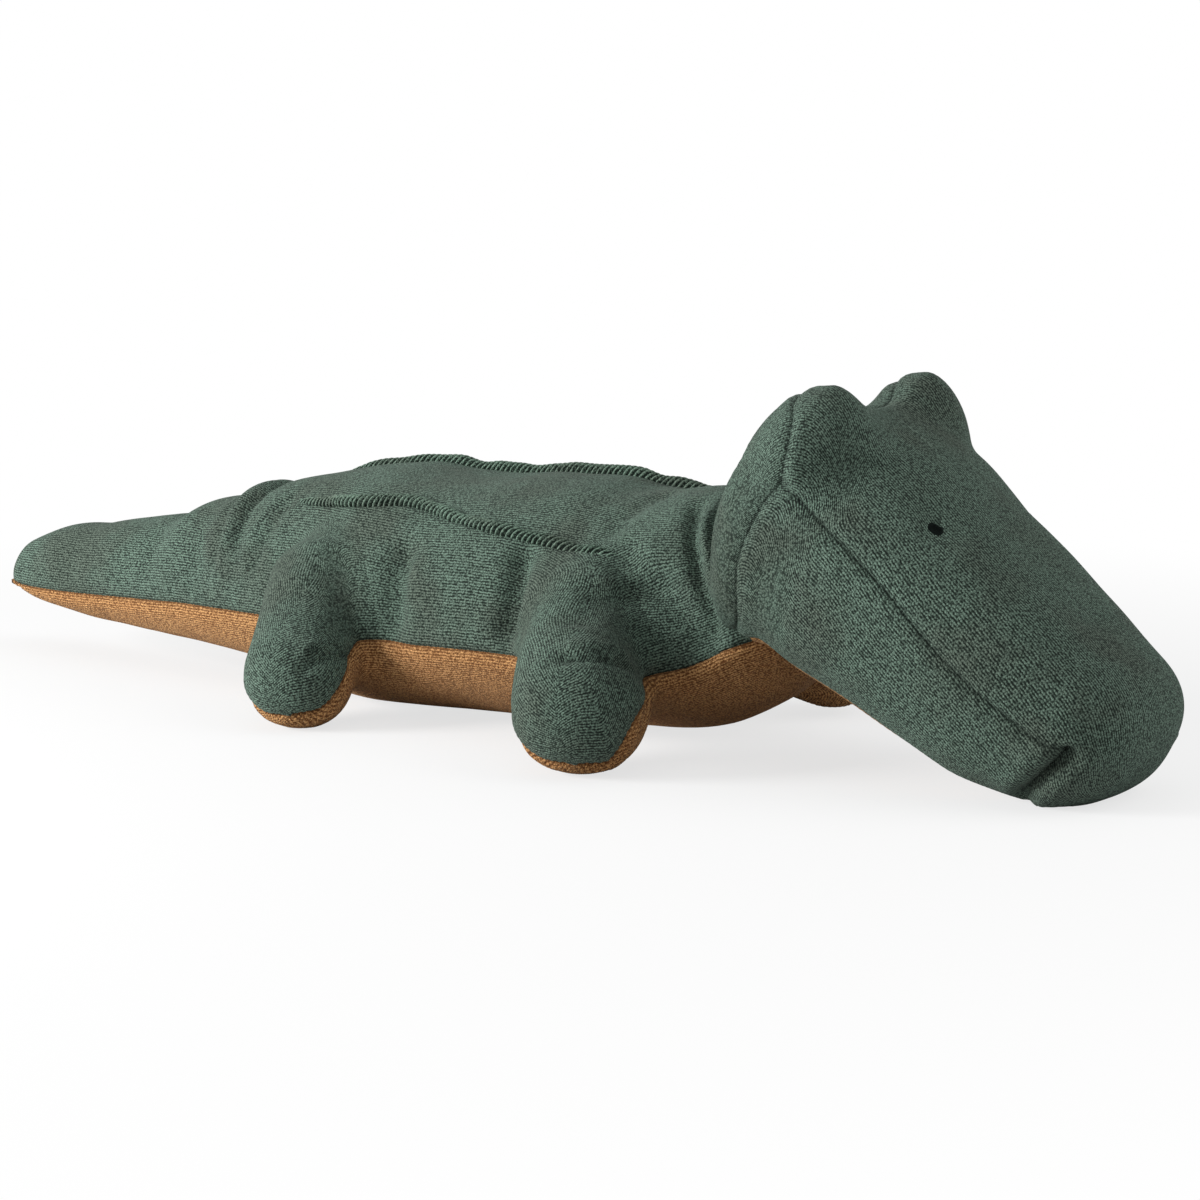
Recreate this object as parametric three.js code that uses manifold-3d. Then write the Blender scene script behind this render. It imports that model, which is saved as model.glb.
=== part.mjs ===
// A plush crocodile lying flat on its belly: stuffed body, head, tail and four legs in terry cloth.
// Millimetres. +X runs from the tail to the nose, +Y is the toy's left side and +Z is up.
// The origin is under the middle of the toy, on the surface that it lies on.

import * as THREE from "three";
import { mergeVertices } from "three/addons/utils/BufferGeometryUtils.js";
import Module from "manifold-3d";

const wasm = await Module();
wasm.setup();

// Driving dimensions of the body
const bodyLength = 228; // from the middle of the tail root to the shoulders
const bodyHalfWidth = 62;
const bodyTop = 111;
const bodySeamHeight = 38; // where the green flank meets the tan belly
const flatDepth = 2; // how far the stuffing is pressed flat where it lies on the surface

// Driving dimensions of the tail
const tailLength = 247;
const tailHalfWidth = 44;
const tailRise = 58; // from the side seam up to the top, at the root
const tailDrop = 28; // from the side seam down to the bottom, at the root
const tailTipLift = 8; // how much higher the side seam is at the tip
const tailTurn = 20; // degrees to each side
const tailRimClearance = 3;

// Driving dimensions of the neck
const neckRadius = 34;
const neckHeight = 80;
const neckBandWidth = 16; // the open band between the shoulders and the head
const neckCoverWidth = 48;

// Driving dimensions of the head
const headLength = 159;
const headHalfWidth = 59;
const headRise = 59; // from the middle of the head up to the crown
const headDrop = 42; // from the middle of the head down to the chin
const headMiddleHeight = 86;
const noseLength = 9.45; // the round end of the snout
const browSpacing = 67;
const browHeight = 131;
const browLength = 34;
const browWidth = 46;
const browTallness = 52;
const eyeLength = 6;
const eyeWidth = 5;
const eyeDepth = 3;

// Driving dimensions of the legs
const frontFootSpacing = 165;
const rearFootSpacing = 166;
const frontFootRadius = 27;
const rearFootRadius = 24;
const frontRootRadius = 28;
const rearRootRadius = 25;
const legRootSpacing = 92;
const legRootHeight = 51;
const footSink = 1.2; // how far a round foot is pressed flat on the surface
const hipHeight = 66; // the line that a leg bends about, where it is sewn on
const soleOuterHeight = 7; // height of the sole's seam on the outside of a foot
const soleInnerHeight = 42; // height of the sole's seam where it meets the belly
const legTuckIn = 4; // degrees that a leg can be pressed in towards the belly

// Driving dimensions of the cloth
const clothThickness = 2;
const seamGap = 0.4;
const ballGap = 0.9; // more than the facets of a ball take up when it turns
const tuckRadius = 5;
const tuckSink = 1.5; // how far the middle of a back tuck lies under the back
const cutOverrun = 400;

// Fineness of the forms
const bodySides = 16;
const tailSides = 14;
const legSides = 12;
const capSteps = 2;
const ballSegments = 20;
const ballRings = 10;
const browSegments = 12;
const browRings = 7;
const eyeSegments = 8;
const eyeRings = 5;
const tuckSteps = 12;
const tuckSides = 6;
const bodyRoundness = 2.25; // 2 is an ellipse, more is squarer
const headRoundness = 2.7;
const legRoundness = 2;

const green = 0x3f5249;
const tan = 0x8a5c38;
const fibre = 0xe8e4da;
const black = 0x15171a;

const sideways = new THREE.Vector3(0, 1, 0);
const upright = new THREE.Vector3(0, 0, 1);
const forwards = new THREE.Vector3(1, 0, 0);

const totalLength = tailLength + bodyLength + neckBandWidth + headLength;
const tailRootX = tailLength - totalLength / 2;
const neckX = tailRootX + bodyLength + neckBandWidth / 2;
const headX = neckX + neckBandWidth / 2;

// Rows along the body: place, half width, top, bottom and seam, as shares of the body's sizes
const bodyShares = [
  [0.0, 0.71, 0.87, 0.07, 0.95],
  [0.083, 0.82, 0.935, 0.035, 0.95],
  [0.167, 0.9, 0.97, 0.015, 0.95],
  [0.34, 0.98, 0.99, 0, 0.97],
  [0.54, 1.0, 1.0, 0, 1.0],
  [0.74, 0.99, 0.98, 0.01, 1.06],
  [0.91, 0.9, 0.95, 0.06, 1.25],
  [0.983, 0.85, 0.93, 0.1, 1.3],
  [1.0, 0.78, 0.44, 0.12, 1.1],
  [1.04, 0.62, 0.35, 0.17, 0.8],
];
const chestCapShare = 0.02;

// Rows along the tail: place, half width, rise, drop and lift of the seam
const tailShares = [
  [0.0, 1.0, 1.0, 1.0, 0],
  [0.15, 0.91, 0.92, 0.93, 0],
  [0.33, 0.8, 0.82, 0.79, 0],
  [0.57, 0.64, 0.61, 0.61, 0.15],
  [0.82, 0.45, 0.37, 0.46, 0.5],
  [0.945, 0.28, 0.17, 0.3, 0.85],
];

// Rows along the head: place, height of the middle, pitch in degrees, half width, rise and drop
const headShares = [
  [0.0, 0.96, 6, 0.93, 0.78, 0.8],
  [0.055, 0.99, 12, 0.97, 0.9, 0.9],
  [0.118, 1.0, 18, 1.0, 1.0, 0.97],
  [0.264, 0.895, 24, 1.0, 0.95, 1.0],
  [0.465, 0.71, 27, 0.95, 0.78, 0.98],
  [0.686, 0.5, 28, 0.86, 0.61, 0.98],
  [0.843, 0.36, 26, 0.78, 0.51, 0.84],
  [0.92, 0.28, 24, 0.63, 0.4, 0.66],
];
const browPlaceShare = 0.17;
const browPitch = 25;

// Seams of the head, seen from the side: place along the head, and height as a share of browHeight
const gussetSeamShares = [
  [0.2, 1.3],
  [0.17, 0.95],
  [0.126, 0.75],
  [0.075, 0.55],
  [0.013, 0.4],
  [-0.04, 0.29],
];
const snoutSeamShares = [
  [0.088, 0.99],
  [0.189, 0.9],
  [0.34, 0.76],
  [0.484, 0.61],
  [0.635, 0.43],
  [0.786, 0.28],
  [0.912, 0.19],
];
const chinSeamShares = [
  [0.912, 0.025],
  [0.786, 0.035],
  [0.648, 0.09],
  [0.484, 0.17],
  [0.296, 0.27],
  [0.15, 0.37],
  [0.0, 0.4],
  [-0.1, 0.41],
];
const eyePlaceShare = 0.424;
const eyeAngle = 58;

// The lines of the back tucks: place along the body, and degrees above the side seam on the right and on the
// left. The back slumps to the right, so the left tuck lies nearer the top.
const tuckLineShares = [
  [0.0, 60, 68],
  [0.1, 58, 66],
  [0.25, 55, 65],
  [0.4, 48, 63],
  [0.55, 43, 61],
  [0.68, 40, 60],
  [0.8, 36, 58],
];
const backFrontShare = 1.3;
const backRearShare = -0.3;

// A leg from its root to its foot: place, and how much it swells there
const legShares = [
  [0, 1.0],
  [0.35, 1.02],
  [0.7, 1.03],
  [1, 1.0],
];
const frontFootShare = 0.85;
const frontRootShare = 0.765;
const rearFootShare = 0.175;
const rearRootShare = 0.088;
const soleBendShare = 0.4;

// Makes a manifold solid of a closed three.js geometry.
function solidOf(geometry) {
  const bare = geometry.clone();
  bare.deleteAttribute("normal");
  bare.deleteAttribute("uv");
  const merged = mergeVertices(bare);
  const vertProperties = new Float32Array(merged.attributes.position.array);
  const triVerts = new Uint32Array(merged.index.array);
  return new wasm.Manifold(new wasm.Mesh({ numProp: 3, vertProperties, triVerts }));
}

// Makes the named mesh of a finished solid.
function meshOf(name, solid, colour) {
  const { vertProperties, triVerts } = solid.getMesh();
  const geometry = new THREE.BufferGeometry();
  geometry.setAttribute("position", new THREE.BufferAttribute(new Float32Array(vertProperties), 3));
  geometry.setIndex(new THREE.BufferAttribute(new Uint32Array(triVerts), 1));
  geometry.computeVertexNormals();
  const material = new THREE.MeshStandardMaterial({ color: colour, roughness: 0.95, metalness: 0 });
  const mesh = new THREE.Mesh(geometry, material);
  mesh.name = name;
  return mesh;
}

// A point of a row's closed outline, which is a superellipse with its own rise and drop.
function outlinePoint(row, angle) {
  const power = 2 / row.roundness;
  const across = Math.sign(Math.cos(angle)) * Math.abs(Math.cos(angle)) ** power * row.halfWidth;
  const height = Math.abs(Math.sin(angle)) ** power;
  const lift = Math.sin(angle) >= 0 ? height * row.rise : -height * row.drop;
  return row.middle.clone().addScaledVector(row.side, across).addScaledVector(row.up, lift);
}

// Rows that close a form with a quarter of an ellipse, from a last row out to a pole.
function capRows(row, pole) {
  const rows = [];
  for (let step = 1; step <= capSteps; step += 1) {
    const angle = (step / (capSteps + 1)) * (Math.PI / 2);
    const size = Math.cos(angle);
    rows.push({
      ...row,
      middle: row.middle.clone().lerp(pole, Math.sin(angle)),
      halfWidth: row.halfWidth * size,
      rise: row.rise * size,
      drop: row.drop * size,
    });
  }
  return rows;
}

// Shrinks the rows of a form by the same distance on all its sides and ends.
function insetRows(rows, inset) {
  const first = rows[0].middle;
  const last = rows[rows.length - 1].middle;
  const centre = first.clone().lerp(last, 0.5);
  const shrink = inset / first.distanceTo(centre);
  return rows.map((row) => ({
    ...row,
    middle: row.middle.clone().lerp(centre, shrink),
    halfWidth: row.halfWidth - inset,
    rise: row.rise - inset,
    drop: row.drop - inset,
  }));
}

// Joins rows into a closed solid, with a fan of triangles to a pole at each end.
function loft(rows, startPole, endPole, sides) {
  const positions = [];
  rows.forEach((row) => {
    for (let side = 0; side < sides; side += 1) {
      const point = outlinePoint(row, ((side + 0.5) / sides) * Math.PI * 2);
      positions.push(point.x, point.y, point.z);
    }
  });
  positions.push(...startPole.toArray(), ...endPole.toArray());
  const startIndex = rows.length * sides;
  const endIndex = startIndex + 1;
  const lastRow = (rows.length - 1) * sides;
  const indices = [];
  for (let side = 0; side < sides; side += 1) {
    const next = (side + 1) % sides;
    for (let row = 0; row < rows.length - 1; row += 1) {
      const here = row * sides;
      const beyond = here + sides;
      indices.push(here + side, here + next, beyond + side);
      indices.push(here + next, beyond + next, beyond + side);
    }
    indices.push(startIndex, next, side);
    indices.push(endIndex, lastRow + side, lastRow + next);
  }
  const along = rows[rows.length - 1].middle.clone().sub(rows[0].middle);
  const outwards = rows[0].side.clone().cross(rows[0].up).dot(along) > 0;
  const geometry = new THREE.BufferGeometry();
  geometry.setAttribute("position", new THREE.BufferAttribute(new Float32Array(positions), 3));
  geometry.setIndex(outwards ? indices : indices.reverse());
  return solidOf(geometry);
}

// A ball, with its poles on the upright axis.
function ball(centre, radius, segments = ballSegments, rings = ballRings) {
  const geometry = new THREE.SphereGeometry(radius, segments, rings);
  geometry.rotateX(Math.PI / 2);
  geometry.translate(centre.x, centre.y, centre.z);
  return solidOf(geometry);
}

// A wall through the whole toy, whose outline is given as [x, z] points seen from the side.
function sideWall(points, from = -cutOverrun, to = cutOverrun) {
  const outline = new THREE.Shape(points.map(([x, z]) => new THREE.Vector2(x, z)));
  const geometry = new THREE.ExtrudeGeometry(outline, { depth: to - from, bevelEnabled: false });
  geometry.rotateX(Math.PI / 2);
  geometry.translate(0, to, 0);
  return solidOf(geometry);
}

// A wall along the whole toy, whose outline is given as [y, z] points seen from the front.
function frontWall(points) {
  const outline = new THREE.Shape(points.map(([y, z]) => new THREE.Vector2(y, z)));
  const depth = 2 * cutOverrun;
  const geometry = new THREE.ExtrudeGeometry(outline, { depth, bevelEnabled: false });
  geometry.rotateX(Math.PI / 2);
  geometry.rotateZ(Math.PI / 2);
  geometry.translate(-cutOverrun, 0, 0);
  return solidOf(geometry);
}

// A wall of full height, whose outline is given as [x, y] points seen from above.
function planWall(points) {
  const outline = new THREE.Shape(points.map(([x, y]) => new THREE.Vector2(x, y)));
  const depth = 2 * cutOverrun;
  const geometry = new THREE.ExtrudeGeometry(outline, { depth, bevelEnabled: false });
  geometry.translate(0, 0, -cutOverrun);
  return solidOf(geometry);
}

// Everything below a line of [x, z] points, seen from the side.
function below(line) {
  const first = line[0];
  const last = line[line.length - 1];
  const ends = [
    [last[0], -cutOverrun],
    [first[0], -cutOverrun],
  ];
  return sideWall([...line, ...ends]);
}

const raised = (line, lift) => line.map(([x, z]) => [x, z + lift]);

// Everything between two places along the toy.
function between(rear, front) {
  const corners = [
    [rear, -cutOverrun],
    [front, -cutOverrun],
    [front, cutOverrun],
    [rear, cutOverrun],
  ];
  return sideWall(corners);
}

// Everything on one side of the toy. Side is 1 for the left and -1 for the right.
function half(side) {
  const corners = [
    [-cutOverrun, -cutOverrun],
    [cutOverrun, -cutOverrun],
    [cutOverrun, cutOverrun],
    [-cutOverrun, cutOverrun],
  ];
  return side > 0 ? sideWall(corners, 0, cutOverrun) : sideWall(corners, -cutOverrun, 0);
}

const underFloor = below([
  [-cutOverrun, 0],
  [cutOverrun, 0],
]);

// The row of a form at a place along the toy, worked out from the rows on both sides of it.
function rowAt(rows, x) {
  const next = Math.max(1, rows.findIndex((row) => row.middle.x >= x));
  const [a, b] = [rows[next - 1], rows[next]];
  const share = (x - a.middle.x) / (b.middle.x - a.middle.x);
  const mix = (key) => THREE.MathUtils.lerp(a[key], b[key], share);
  return {
    ...a,
    middle: a.middle.clone().lerp(b.middle, share),
    up: a.up.clone().lerp(b.up, share).normalize(),
    halfWidth: mix("halfWidth"),
    rise: mix("rise"),
    drop: mix("drop"),
  };
}

// Body

const bodyRows = bodyShares.map(([place, width, top, bottom, seam]) => {
  const seamHeight = seam * bodySeamHeight;
  return {
    middle: new THREE.Vector3(tailRootX + place * bodyLength, 0, seamHeight),
    side: sideways,
    up: upright,
    halfWidth: width * bodyHalfWidth,
    rise: top * bodyTop - seamHeight,
    drop: seamHeight - bottom * bodyTop + flatDepth,
    roundness: bodyRoundness,
  };
});
const rumpSeamHeight = bodyRows[0].middle.z;
const chestSeamHeight = bodyRows[bodyRows.length - 1].middle.z;
const bodySeamLine = [
  [tailRootX - 2 * tailHalfWidth, rumpSeamHeight],
  ...bodyRows.map((row) => [row.middle.x, row.middle.z]),
  [headX + neckRadius, chestSeamHeight],
];
const rumpHeight = rumpSeamHeight + (bodyRows[0].rise - bodyRows[0].drop) / 2;
const tailPivot = new THREE.Vector3(tailRootX, 0, rumpHeight);
const neckPivot = new THREE.Vector3(neckX, 0, neckHeight);
const neckSocket = ball(neckPivot, neckRadius + ballGap);

// The stuffed body, rounded by a ball where the tail swings on it.
function bodyForm(inset) {
  const rows = insetRows(bodyRows, inset);
  const chest = rows[rows.length - 1];
  const pole = chest.middle.clone().addScaledVector(forwards, chestCapShare * bodyLength);
  const trunk = loft([...rows, ...capRows(chest, pole)], rows[0].middle, pole, bodySides);
  return trunk.add(ball(tailPivot, tailHalfWidth - inset));
}

// Points along a back tuck. Side is 1 for the left and -1 for the right.
function tuckLine(side) {
  return tuckLineShares.map(([place, rightAngle, leftAngle]) => {
    const row = rowAt(bodyRows, tailRootX + place * bodyLength);
    const point = outlinePoint(row, THREE.MathUtils.degToRad(side > 0 ? leftAngle : rightAngle));
    const inwards = row.middle.clone().sub(point).normalize();
    point.addScaledVector(inwards, tuckSink);
    point.y *= side;
    return point;
  });
}

// A round roll of cloth along a back tuck.
function tuckRoll(side, radius) {
  const corners = [];
  for (let corner = 0; corner < tuckSides; corner += 1) {
    const angle = (corner / tuckSides) * Math.PI * 2;
    corners.push(new THREE.Vector2(radius * Math.cos(angle), radius * Math.sin(angle)));
  }
  const extrudePath = new THREE.CatmullRomCurve3(tuckLine(side));
  const outline = new THREE.Shape(corners);
  return solidOf(new THREE.ExtrudeGeometry(outline, { steps: tuckSteps, extrudePath }));
}

// The part of the cloth between the two tuck lines, seen from above.
function backRegion(inset) {
  const [left, right] = [1, -1].map((side) => {
    const line = tuckLine(side).map((point) => [point.x, point.y - side * inset]);
    const rear = [tailRootX + backRearShare * bodyLength, line[0][1]];
    const front = [tailRootX + backFrontShare * bodyLength, line[line.length - 1][1]];
    return [rear, ...line, front];
  });
  return planWall([...left, ...right.reverse()]);
}

function makeBody() {
  const lining = bodyForm(clothThickness);
  const cloth = bodyForm(0).subtract(lining).subtract(neckSocket);
  const filling = bodyForm(clothThickness + seamGap).subtract(neckSocket);
  const upper = cloth
    .subtract(below(bodySeamLine))
    .subtract(tuckRoll(1, tuckRadius + seamGap))
    .subtract(tuckRoll(-1, tuckRadius + seamGap));
  const flanks = upper.subtract(backRegion(0));
  const belly = cloth.intersect(below(raised(bodySeamLine, -seamGap))).subtract(underFloor);
  const group = new THREE.Group();
  group.add(
    meshOf("body_filling", filling, fibre),
    meshOf("back_panel", upper.intersect(backRegion(seamGap)), green),
    meshOf("left_flank_panel", flanks.intersect(half(1)), green),
    meshOf("right_flank_panel", flanks.intersect(half(-1)), green),
    meshOf("belly_panel", belly, tan),
    meshOf("left_back_tuck", tuckRoll(1, tuckRadius).subtract(lining), green),
    meshOf("right_back_tuck", tuckRoll(-1, tuckRadius).subtract(lining), green),
  );
  return group;
}

// Tail

const tailRows = tailShares.map(([place, width, rise, drop, lift]) => {
  const height = rumpSeamHeight + lift * tailTipLift;
  return {
    middle: new THREE.Vector3(tailRootX - place * tailLength, 0, height),
    side: sideways,
    up: upright,
    halfWidth: width * tailHalfWidth,
    rise: rise * tailRise,
    drop: drop * tailDrop,
    roundness: bodyRoundness,
  };
});
const tailTip = new THREE.Vector3(tailRootX - tailLength, 0, rumpSeamHeight + tailTipLift);
const tailRimX = tailRootX - tailRimClearance - tailHalfWidth * Math.sin(THREE.MathUtils.degToRad(tailTurn));
const tailSeamLine = [
  [tailTip.x - tailHalfWidth, tailTip.z],
  [tailTip.x, tailTip.z],
  ...tailRows.map((row) => [row.middle.x, row.middle.z]).reverse(),
];

// The stuffed tail, which narrows and flattens to its tip.
function tailForm(inset) {
  const rows = insetRows(tailRows, inset);
  const end = rows[rows.length - 1];
  const pole = tailTip.clone().addScaledVector(forwards, inset);
  return loft([...rows, ...capRows(end, pole)], rows[0].middle, pole, tailSides);
}

function makeTail() {
  const socket = ball(tailPivot, tailHalfWidth + ballGap);
  const trim = (solid) => solid.intersect(between(-totalLength, tailRimX)).subtract(socket);
  const cloth = trim(tailForm(0).subtract(tailForm(clothThickness)));
  const group = new THREE.Group();
  group.add(
    meshOf("tail_filling", trim(tailForm(clothThickness + seamGap)), fibre),
    meshOf("tail_upper_panel", cloth.subtract(below(tailSeamLine)), green),
    meshOf("tail_under_panel", cloth.intersect(below(raised(tailSeamLine, -seamGap))), tan),
  );
  return group;
}

// Neck

function makeNeck() {
  const cover = ball(neckPivot, neckRadius)
    .subtract(ball(neckPivot, neckRadius - clothThickness))
    .intersect(between(neckX - neckCoverWidth / 2, neckX + neckCoverWidth / 2));
  const group = new THREE.Group();
  group.add(
    meshOf("neck_filling", ball(neckPivot, neckRadius - clothThickness - seamGap), fibre),
    meshOf("neck_cover", cover, green),
  );
  return group;
}

// Head

const headRows = headShares.map(([place, height, degrees, width, rise, drop]) => {
  const pitch = THREE.MathUtils.degToRad(degrees);
  return {
    middle: new THREE.Vector3(headX + place * headLength, 0, height * headMiddleHeight),
    side: sideways,
    up: new THREE.Vector3(Math.sin(pitch), 0, Math.cos(pitch)),
    halfWidth: width * headHalfWidth,
    rise: rise * headRise,
    drop: drop * headDrop,
    roundness: headRoundness,
  };
});

// A line of [x, z] points on the head, from shares of its length and of the height of the brows.
const headLine = (shares) => shares.map(([place, height]) => [headX + place * headLength, height * browHeight]);

// A rounded brow that stands up from the crown. Side is 1 for the left and -1 for the right.
function brow(side, inset) {
  const geometry = new THREE.SphereGeometry(1, browSegments, browRings);
  geometry.scale(browLength / 2 - inset, browWidth / 2 - inset, browTallness / 2 - inset);
  geometry.rotateY(THREE.MathUtils.degToRad(browPitch));
  geometry.translate(headX + browPlaceShare * headLength, (side * browSpacing) / 2, browHeight);
  return solidOf(geometry);
}

// The stuffed head: a long snout that falls to the nose, and two brows.
function headForm(inset) {
  const rows = insetRows(headRows, inset);
  const end = rows[rows.length - 1];
  const ahead = new THREE.Vector3(end.up.z, 0, -end.up.x);
  const pole = end.middle.clone().addScaledVector(ahead, noseLength);
  const skull = loft([...rows, ...capRows(end, pole)], rows[0].middle, pole, bodySides);
  return skull.add(brow(1, inset)).add(brow(-1, inset));
}

// A small stitched dome on the crown.
function eye(side, grownHead) {
  const row = rowAt(headRows, headX + eyePlaceShare * headLength);
  const centre = outlinePoint(row, THREE.MathUtils.degToRad(eyeAngle));
  const outwards = centre.clone().sub(row.middle).normalize();
  const geometry = new THREE.SphereGeometry(1, eyeSegments, eyeRings);
  geometry.scale(eyeLength / 2, eyeWidth / 2, eyeDepth / 2);
  geometry.applyQuaternion(new THREE.Quaternion().setFromUnitVectors(upright, outwards));
  geometry.translate(centre.x, centre.y, centre.z);
  if (side < 0) {
    geometry.applyMatrix4(new THREE.Matrix4().makeScale(1, -1, 1));
    geometry.setIndex([...geometry.index.array].reverse());
  }
  return solidOf(geometry).subtract(grownHead);
}

function makeHead() {
  const cloth = headForm(0).subtract(headForm(clothThickness)).subtract(neckSocket).subtract(underFloor);
  const filling = headForm(clothThickness + seamGap).subtract(neckSocket);
  const grownHead = headForm(-seamGap);
  const gussetSeam = headLine(gussetSeamShares);
  const rear = [
    [-cutOverrun, gussetSeam[gussetSeam.length - 1][1]],
    [-cutOverrun, gussetSeam[0][1]],
  ];
  const shifted = (line, x, z) => line.map((point) => [point[0] + x, point[1] + z]);
  const gussetRegion = sideWall([...gussetSeam, ...rear]);
  const face = cloth.subtract(sideWall([...shifted(gussetSeam, seamGap, 0), ...rear]));
  const snoutSeam = headLine(snoutSeamShares);
  const chinSeam = headLine(chinSeamShares);
  const chinRegion = below([...chinSeam].reverse());
  const cheekRegion = sideWall([...snoutSeam, ...shifted(chinSeam, 0, seamGap)]);
  const cheekSurround = sideWall([...shifted(snoutSeam, seamGap, seamGap), ...shifted(chinSeam, seamGap, -seamGap)]);
  const cheeks = face.intersect(cheekRegion);
  const group = new THREE.Group();
  group.add(
    meshOf("head_filling", filling, fibre),
    meshOf("head_back_gusset", cloth.intersect(gussetRegion), green),
    meshOf("crown_panel", face.subtract(cheekSurround).subtract(chinRegion), green),
    meshOf("left_cheek_panel", cheeks.intersect(half(1)), green),
    meshOf("right_cheek_panel", cheeks.intersect(half(-1)), green),
    meshOf("chin_panel", face.intersect(chinRegion), tan),
    meshOf("left_eye", eye(1, grownHead), black),
    meshOf("right_eye", eye(-1, grownHead), black),
  );
  return group;
}

// Legs

// How far out the body's side is at a height, at a place along the toy.
function bodySideAt(x, height) {
  const row = rowAt(bodyRows, x);
  const share = (height - row.middle.z) / row.rise;
  return row.halfWidth * (1 - share ** bodyRoundness) ** (1 / bodyRoundness);
}

// The stuffed leg, from inside the flank down and out to its round foot.
function legForm(leg, inset) {
  const root = new THREE.Vector3(leg.rootX, (leg.side * legRootSpacing) / 2, legRootHeight);
  const foot = new THREE.Vector3(leg.footX, (leg.side * leg.footSpacing) / 2, leg.footRadius - footSink);
  const along = foot.clone().sub(root).normalize();
  const side = forwards.clone().addScaledVector(along, -forwards.dot(along)).normalize();
  const up = along.clone().cross(side);
  const rows = legShares.map(([place, swell]) => {
    const radius = swell * THREE.MathUtils.lerp(leg.rootRadius, leg.footRadius, place) - inset;
    const middle = root.clone().lerp(foot, place);
    return { middle, side, up, halfWidth: radius, rise: radius, drop: radius, roundness: legRoundness };
  });
  const end = rows[rows.length - 1];
  const pole = foot.clone().addScaledVector(along, leg.footRadius - inset);
  return loft([...rows, ...capRows(end, pole)], root, pole, legSides);
}

// A leg is cut by the body, and again by the body as it lies when the leg is pressed in.
function makeLeg(name, leg, grownBody) {
  const hipY = leg.side * bodySideAt(leg.footX, hipHeight);
  const hip = new THREE.Vector3(0, hipY, hipHeight);
  const pressed = grownBody
    .translate([0, -hip.y, -hip.z])
    .rotate([leg.side * legTuckIn, 0, 0])
    .translate([0, hip.y, hip.z]);
  const hanging = below([
    [-cutOverrun, hipHeight],
    [cutOverrun, hipHeight],
  ]);
  const trim = (solid) => solid.intersect(hanging).subtract(grownBody).subtract(pressed).subtract(underFloor);
  const cloth = trim(legForm(leg, 0).subtract(legForm(leg, clothThickness)));
  const outer = leg.footSpacing / 2 + soleBendShare * leg.footRadius;
  const inner = leg.footSpacing / 2 - leg.footRadius;
  const soleLine = [
    [leg.side * cutOverrun, soleOuterHeight],
    [leg.side * outer, soleOuterHeight],
    [leg.side * inner, soleInnerHeight],
    [0, soleInnerHeight],
  ];
  const corners = [
    [0, -cutOverrun],
    [leg.side * cutOverrun, -cutOverrun],
  ];
  const lowered = soleLine.map(([y, z]) => [y, z - seamGap]);
  const group = new THREE.Group();
  group.add(
    meshOf(`${name}_leg_filling`, trim(legForm(leg, clothThickness + seamGap)), fibre),
    meshOf(`${name}_leg_panel`, cloth.subtract(frontWall([...soleLine, ...corners])), green),
    meshOf(`${name}_sole_panel`, cloth.intersect(frontWall([...lowered, ...corners])), tan),
  );
  return group;
}

function makeLegs() {
  const grownBody = bodyForm(-seamGap);
  const front = {
    footX: tailRootX + frontFootShare * bodyLength,
    rootX: tailRootX + frontRootShare * bodyLength,
    footSpacing: frontFootSpacing,
    footRadius: frontFootRadius,
    rootRadius: frontRootRadius,
  };
  const rear = {
    footX: tailRootX + rearFootShare * bodyLength,
    rootX: tailRootX + rearRootShare * bodyLength,
    footSpacing: rearFootSpacing,
    footRadius: rearFootRadius,
    rootRadius: rearRootRadius,
  };
  const group = new THREE.Group();
  group.add(
    makeLeg("left_front", { ...front, side: 1 }, grownBody),
    makeLeg("right_front", { ...front, side: -1 }, grownBody),
    makeLeg("left_rear", { ...rear, side: 1 }, grownBody),
    makeLeg("right_rear", { ...rear, side: -1 }, grownBody),
  );
  return group;
}

const plush = new THREE.Group();
plush.add(makeBody(), makeTail(), makeNeck(), makeHead(), makeLegs());

export default plush;
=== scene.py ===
"""Plush crocodile in green terry cloth with a tan belly, sewn from panels over stuffed forms.

Shapes are worked out in millimetres and made into meshes in metres, in the frame's own axes: +X runs from the
tail to the nose, +Y is the toy's left side, +Z is up, and the origin lies under the toy's middle.
Angles round a form start at the top and grow towards the left side.
"""

import functools
import logging
import math
from collections.abc import Callable
from dataclasses import dataclass, field
from enum import Enum

import bpy
import numpy as np
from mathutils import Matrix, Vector


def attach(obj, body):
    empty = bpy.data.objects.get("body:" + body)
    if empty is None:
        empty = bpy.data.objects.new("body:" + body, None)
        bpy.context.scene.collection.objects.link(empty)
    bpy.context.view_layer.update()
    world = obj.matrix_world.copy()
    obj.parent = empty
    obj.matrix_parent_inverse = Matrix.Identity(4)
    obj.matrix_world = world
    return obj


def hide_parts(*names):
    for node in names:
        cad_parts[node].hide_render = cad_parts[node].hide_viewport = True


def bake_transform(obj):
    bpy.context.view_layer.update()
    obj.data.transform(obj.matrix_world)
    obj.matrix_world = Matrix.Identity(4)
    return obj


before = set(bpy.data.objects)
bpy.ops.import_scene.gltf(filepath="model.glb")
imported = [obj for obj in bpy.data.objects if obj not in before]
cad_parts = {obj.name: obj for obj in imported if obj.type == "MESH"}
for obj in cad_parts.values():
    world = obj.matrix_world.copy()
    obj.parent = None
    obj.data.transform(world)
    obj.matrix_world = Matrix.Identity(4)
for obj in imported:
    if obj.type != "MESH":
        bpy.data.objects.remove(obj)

log = logging.getLogger("plush_crocodile")

Array = np.ndarray
Socket = bpy.types.NodeSocket
Pair = tuple[float, float]
Triple = tuple[float, float, float]
Colour = tuple[int, int, int]

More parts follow.
